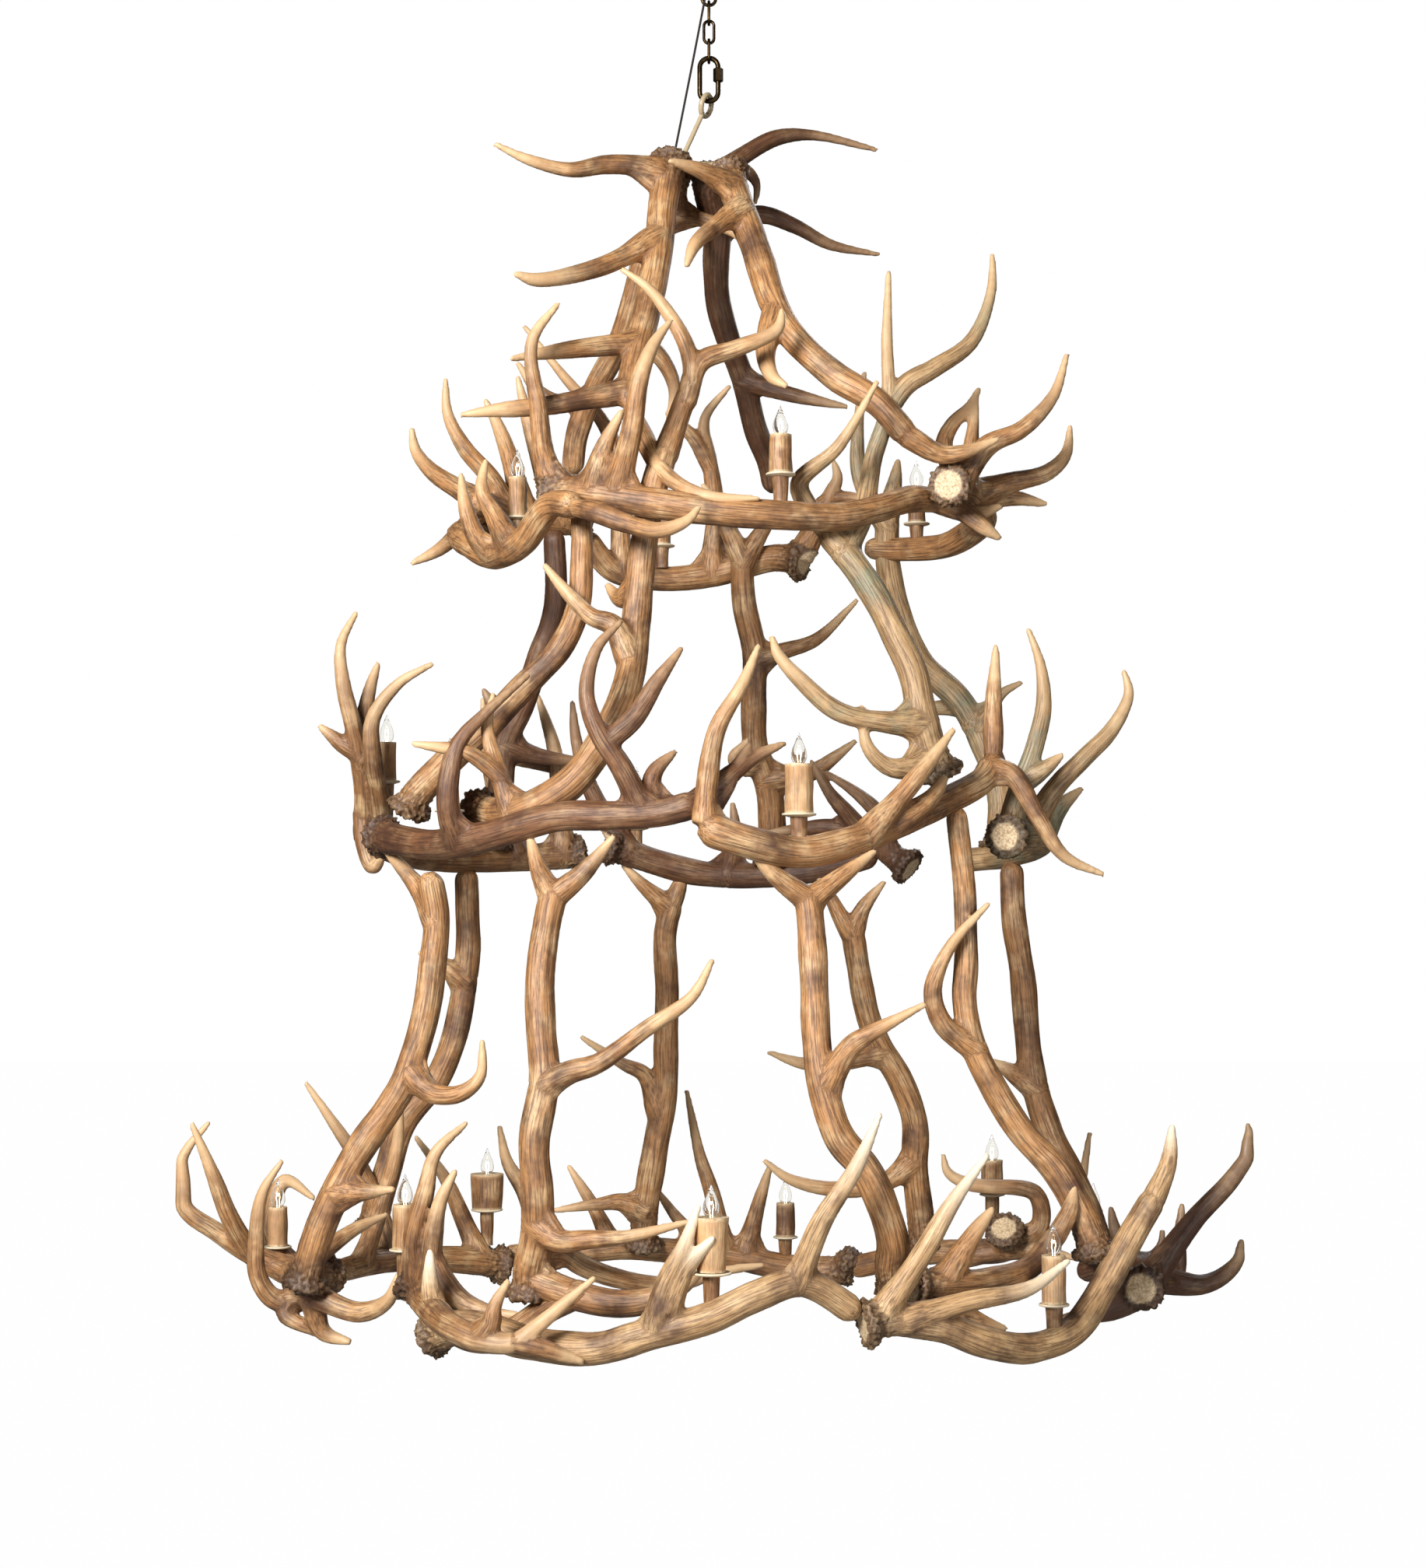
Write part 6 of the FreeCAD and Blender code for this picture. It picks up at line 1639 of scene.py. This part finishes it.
def make_canopy(material):
    """Spun brass canopy: a soft dome with a rolled rim, open at the ceiling."""
    low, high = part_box("canopy")
    rim = high.x
    foot = low.z
    outside = [(CANOPY_NECK + (rim - CANOPY_NECK) * out, foot * down) for out, down in DOME]
    rolled = bead(rim, foot * RIM_HEIGHT, RIM_ROLL)
    inside = [(radius - CANOPY_WALL * WALL_SLANT, height + CANOPY_WALL) for radius, height in reversed(outside)]
    outline = [(CANOPY_HOLE, foot), *outside, *rolled, *inside, (CANOPY_HOLE, foot + CANOPY_WALL),
               (CANOPY_HOLE, foot)]
    thing = creased(spun("brass_canopy", outline, CANOPY_SIDES, material), degrees=60)
    stands_for(thing, "canopy", "ceiling_fixture")


def make_collar(material):
    """Knurled brass ring under the canopy."""
    low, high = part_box("screw_collar")
    wide = high.x
    edge = COLLAR_EDGE
    outline = [(COLLAR_HOLE, low.z), (wide - edge, low.z), (wide, low.z + edge), (wide, high.z - edge),
               (wide - edge, high.z), (COLLAR_HOLE, high.z), (COLLAR_HOLE, low.z)]
    thing = spun("knurled_collar", outline, KNURL_SIDES, material, flutes=KNURLS, flute_depth=KNURL_DEPTH)
    stands_for(creased(thing, degrees=50), "screw_collar", "ceiling_fixture")


def make_loop(material):
    """Hanging loop and the threaded nipple above it."""
    low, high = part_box("hanging_loop")
    middle = high.x - LOOP_WIRE
    centre = low.z + LOOP_WIRE + middle
    ring = ring_line(Vector((0, 0, centre)), middle, Vector((1, 0, 0)), Vector((0, 0, 1)))
    loop = bar("loop_ring", [(ring, [LOOP_WIRE] * RING_STEPS)], WIRE_SIDES, material, closed=True)
    foot = centre + middle
    radius = NIPPLE_RADIUS
    neck = low.z + (high.z - low.z) * NIPPLE_NECK
    ridges = threaded(radius, neck, high.z - 1 * MM, NIPPLE_THREADS, NIPPLE_THREAD_DEPTH)
    outline = [(0, foot), (radius, foot), (radius, neck - 0.3 * MM), *ridges, (radius * 0.85, high.z),
               (0, high.z)]
    thing = joined("brass_loop", [loop, spun("nipple", outline, 32, material)])
    stands_for(creased(thing, degrees=50), "hanging_loop", "ceiling_fixture")


# ---------------------------------------------------------------- supply cord
CORD_TOP = Vector((2, -19, -14)) * MM
CORD_BOW = Vector((-27, -20.5, -172)) * MM
CORD_FOOT = Vector((-58, -22, -328.4)) * MM
CORD_DIAMETER = 4 * MM


def make_cord(material):
    """Taut supply cord from the canopy's bushing to the front left burr."""
    curve = bpy.data.curves.new("braided_cord", "CURVE")
    curve.dimensions = "3D"
    line = curve.splines.new("NURBS")
    line.points.add(2)
    for point, place in zip(line.points, (CORD_TOP, CORD_BOW, CORD_FOOT)):
        point.co = (*place, 1.0)
    line.order_u = 3
    line.use_endpoint_u = True
    line.resolution_u = 24
    curve.bevel_depth = CORD_DIAMETER / 2
    curve.bevel_resolution = 5
    curve.use_fill_caps = True
    curve.materials.append(material)
    thing = link("braided_cord", curve)
    stands_for(thing, "supply_cord", "ceiling_fixture")


# ---------------------------------------------------------------- stage
FLOOR_DROP = 0.95
CAMERA_PLACE = (0.007, -4.6, -1.68)
CAMERA_TILT = math.radians(93.18)
CAMERA_LENS = 61.8
CAMERA_SENSOR = 36
CAMERA_REACH = 100
FLOOR_HALF = 30
# How white the camera sees the floor, so that the object's shadow stays on it, and the room's dim light.
FLOOR_WHITENESS = 0.993
ROOM_LIGHT = 0.05
# Lamps: name, place in metres, power in watts and width in metres. All point at the chandelier's middle.
LAMP_AIM = (0, 0, -1.35)
LAMPS = (("key_lamp", (-2.4, -4.4, 0.3), 500, 1.6), ("fill_lamp", (2.4, -3.6, -1.7), 50, 1.2),
         ("back_lamp", (1.6, 3.0, 0.9), 60, 1.6))


def lamp(name, place, power, width):
    """Soft square lamp that points at the chandelier."""
    data = bpy.data.lights.new(name, "AREA")
    data.energy = power
    data.size = width
    thing = link(name, data)
    thing.location = place
    thing.rotation_euler = (Vector(LAMP_AIM) - Vector(place)).to_track_quat("-Z", "Y").to_euler()
    return thing


def seen_ray(tree):
    """Node that gives 1 to the rays by which the camera sees, straight or through glass."""
    path = add(tree, "ShaderNodeLightPath").outputs
    return add(tree, "ShaderNodeMath", {"operation": "MAXIMUM"},
               {0: path["Is Camera Ray"], 1: path["Is Transmission Ray"]})


def pale_floor():
    """Painted board floor, matt and nearly white, that the camera sees as the white of the background."""
    material, tree = new_material("matt_white_paint")
    paint = add(tree, "ShaderNodeBsdfDiffuse", None, {"Color": linear(colours().floor)})
    white = add(tree, "ShaderNodeEmission", None, {"Color": (1, 1, 1, 1), "Strength": 1.0})
    part = add(tree, "ShaderNodeMath", {"operation": "MULTIPLY"}, {0: seen_ray(tree), 1: FLOOR_WHITENESS})
    mixed = add(tree, "ShaderNodeMixShader", None, {0: part, 1: paint, 2: white})
    add(tree, "ShaderNodeOutputMaterial", None, {"Surface": mixed})
    return material


def white_room():
    """World that lights dimly and evenly, and is white where it is seen or looked at through glass."""
    world = bpy.data.worlds.new("white_room")
    world.use_nodes = True
    tree = world.node_tree
    tree.nodes.clear()
    soft = add(tree, "ShaderNodeBackground", None, {"Color": (1, 1, 1, 1), "Strength": ROOM_LIGHT})
    white = add(tree, "ShaderNodeBackground", None, {"Color": (1, 1, 1, 1), "Strength": 1.0})
    mixed = add(tree, "ShaderNodeMixShader", None, {0: seen_ray(tree), 1: soft, 2: white})
    add(tree, "ShaderNodeOutputWorld", None, {"Surface": mixed})
    bpy.context.scene.world = world


# ---------------------------------------------------------------- operators
# Antler finishes: the colours of ridges, patches and tips, and how much the grooves and the tips show.
SLOT_LOOKS = {
    "antler_tan": ("tan", "smoke", "tip", 0.75, 0.9), "antler_dark": ("dark", "smoke", "tip", 0.9, 0.3),
    "antler_grey": ("grey", "moss", "tip", 0.7, 0.6), "antler_pale": ("pale", "smoke", "bleached", 0.7, 1.0),
}
MATERIALS = {}
# How dark these antlers are all over. The others vary a little by turns.
SHADES = {
    "antler_apex_rear_right": 0.45, "antler_upper_rear_left": 0.5, "antler_bottom_right": 0.75,
    "antler_middle_front_left": 0.15, "antler_middle_rear": 0.25, "antler_middle_rear_right": 0.3,
    "antler_middle_left": 0.5, "antler_lower_rear_left": 0.25, "antler_lower_rear_right": 0.35,
    "antler_bottom_rear_right": 0.3, "antler_bottom_rear": 0.25, "antler_upper_rear": 0.3,
    "antler_apex_rear_left": 0.3, "antler_bottom_front": 0.15, "antler_bottom_front_right": 0.05,
    "antler_bottom_front_left": 0.35, "antler_bottom_left": 0.15,
}
SHADE_SPREAD = 0.2
SHADE_TURN = 3.1
SEED_STEP = 1.7


def finish_of(slot):
    """The antler material of a slot, made once."""
    if slot not in MATERIALS:
        ridge, patch, tip, groove_share, tip_share = SLOT_LOOKS[slot]
        texts = [getattr(colours(), tone) for tone in (ridge, patch, tip)]
        MATERIALS[slot] = shed_antler(slot.replace("antler", "shed_antler"), *texts, groove_share, tip_share)
    return MATERIALS[slot]


class CHANDELIER_OT_antlers(bpy.types.Operator):
    """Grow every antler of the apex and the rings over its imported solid."""

    bl_idname = "chandelier.antlers"
    bl_label = "Antlers"

    def execute(self, context):
        for draw in (apex_antlers, top_ring, upper_uprights, middle_ring, lower_uprights, bottom_ring):
            draw()
        for number, (node, (beam, tines, girth, burr, end)) in enumerate(ANTLERS.items()):
            seed = SEED_STEP * number
            limbs = antler_limbs(beam, tines_of(node, tines), girth, burr, end, seed)
            shade = SHADES.get(node, SHADE_SPREAD * (0.5 + 0.5 * math.sin(seed * SHADE_TURN)))
            material = finish_of(slot_of(node))
            thing = grow_antler(node.replace("antler", "grown"), limbs, burr, material, seed, shade)
            stands_for(thing, node)
        return {"FINISHED"}


class CHANDELIER_OT_candles(bpy.types.Operator):
    """Make the stubs, dishes, sleeves and sockets of the candle lights."""

    bl_idname = "chandelier.candles"
    bl_label = "Candles"

    def execute(self, context):
        place_lights()
        tan = finish_of("antler_tan")
        stands_for(make_stubs(tan), "candle_stubs")
        stands_for(make_sleeves(tan), "candle_sleeves")
        stands_for(make_dishes(ivory_resin()), "candle_dishes")
        stands_for(make_sockets(socket_phenolic()), "lamp_sockets")
        return {"FINISHED"}


class CHANDELIER_OT_bulbs(bpy.types.Operator):
    """Make the bulbs, their filaments and their screw bases."""

    bl_idname = "chandelier.bulbs"
    bl_label = "Bulbs"

    def execute(self, context):
        stands_for(make_bulbs(blown_glass()), "bulbs")
        filaments = make_filaments(glowing_filament())
        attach(filaments, BODY)
        lacquered = brass("lacquered_brass", colours().lacquered, patina_share=0.25, rough=0.25)
        stands_for(make_bases(lacquered), "bulb_bases")
        return {"FINISHED"}


class CHANDELIER_OT_fixture(bpy.types.Operator):
    """Make the canopy, its collar and the hanging loop, and finish the bracket and the bushing."""

    bl_idname = "chandelier.fixture"
    bl_label = "Ceiling fixture"

    def execute(self, context):
        aged = aged_brass()
        make_canopy(aged)
        make_collar(aged)
        make_loop(aged)
        finished = {"ceiling_bracket": zinc_plate(), "cord_bushing": aged}
        for node, material in finished.items():
            frame["nodes"][node].data.materials.clear()
            frame["nodes"][node].data.materials.append(material)
        return {"FINISHED"}


class CHANDELIER_OT_chain(bpy.types.Operator):
    """Make the chain, the quick link with its nut and the screw eye."""

    bl_idname = "chandelier.chain"
    bl_label = "Chain and screw eye"

    def execute(self, context):
        aged = aged_brass()
        make_links(aged)
        make_quick_link(aged)
        make_eye(cream_enamel())
        return {"FINISHED"}


class CHANDELIER_OT_cord(bpy.types.Operator):
    """Make the taut supply cord."""

    bl_idname = "chandelier.cord"
    bl_label = "Supply cord"

    def execute(self, context):
        make_cord(braided_cord())
        return {"FINISHED"}


class CHANDELIER_OT_stage(bpy.types.Operator):
    """Set the floor, the white room, the lamps and the camera."""

    bl_idname = "chandelier.stage"
    bl_label = "Stage"

    def execute(self, context):
        scene = context.scene
        scene.view_settings.view_transform = "Standard"
        white_room()
        floor_height = CAD_BOX[0][2] - FLOOR_DROP
        corners = [(x * FLOOR_HALF, y * FLOOR_HALF, floor_height)
                   for x, y in ((-1, -1), (1, -1), (1, 1), (-1, 1))]
        mesh = bpy.data.meshes.new("floor")
        mesh.from_pydata(corners, [], [(0, 1, 2, 3)])
        mesh.materials.append(pale_floor())
        link("floor", mesh)
        for settings in LAMPS:
            lamp(*settings)
        data = bpy.data.cameras.new("camera")
        data.lens = CAMERA_LENS
        data.sensor_width = CAMERA_SENSOR
        data.clip_end = CAMERA_REACH
        camera = link("camera", data)
        camera.location = CAMERA_PLACE
        camera.rotation_euler = (CAMERA_TILT, 0, 0)
        scene.camera = camera
        return {"FINISHED"}


class CHANDELIER_PT_panel(bpy.types.Panel):
    """Sizes, colours and the pieces to make."""

    bl_label = "Antler chandelier"
    bl_idname = "CHANDELIER_PT_panel"
    bl_space_type = "VIEW_3D"
    bl_region_type = "UI"
    bl_category = "Chandelier"

    def draw(self, context):
        layout = self.layout
        for group in (context.scene.chandelier_sizes, context.scene.chandelier_colours):
            column = layout.column()
            for name in group.bl_rna.properties.keys():
                if name not in ("rna_type", "name"):
                    column.prop(group, name)
        for operator in OPERATORS:
            layout.operator(operator.bl_idname)


OPERATORS = (CHANDELIER_OT_stage, CHANDELIER_OT_cord, CHANDELIER_OT_antlers, CHANDELIER_OT_candles,
             CHANDELIER_OT_bulbs, CHANDELIER_OT_fixture, CHANDELIER_OT_chain)
CLASSES = (ChandelierSizes, ChandelierColours, *OPERATORS, CHANDELIER_PT_panel)


def register():
    """Adds the settings, the operators and the panel."""
    for item in CLASSES:
        bpy.utils.register_class(item)
    bpy.types.Scene.chandelier_sizes = bpy.props.PointerProperty(type=ChandelierSizes)
    bpy.types.Scene.chandelier_colours = bpy.props.PointerProperty(type=ChandelierColours)


def unregister():
    """Takes them away again."""
    del bpy.types.Scene.chandelier_colours
    del bpy.types.Scene.chandelier_sizes
    for item in reversed(CLASSES):
        bpy.utils.unregister_class(item)


def main():
    """Makes the chandelier and its stage."""
    register()
    bpy.ops.chandelier.stage()
    bpy.ops.chandelier.cord()
    bpy.ops.chandelier.antlers()
    bpy.ops.chandelier.candles()
    bpy.ops.chandelier.bulbs()
    bpy.ops.chandelier.fixture()
    bpy.ops.chandelier.chain()


if __name__ == "__main__":
    main()
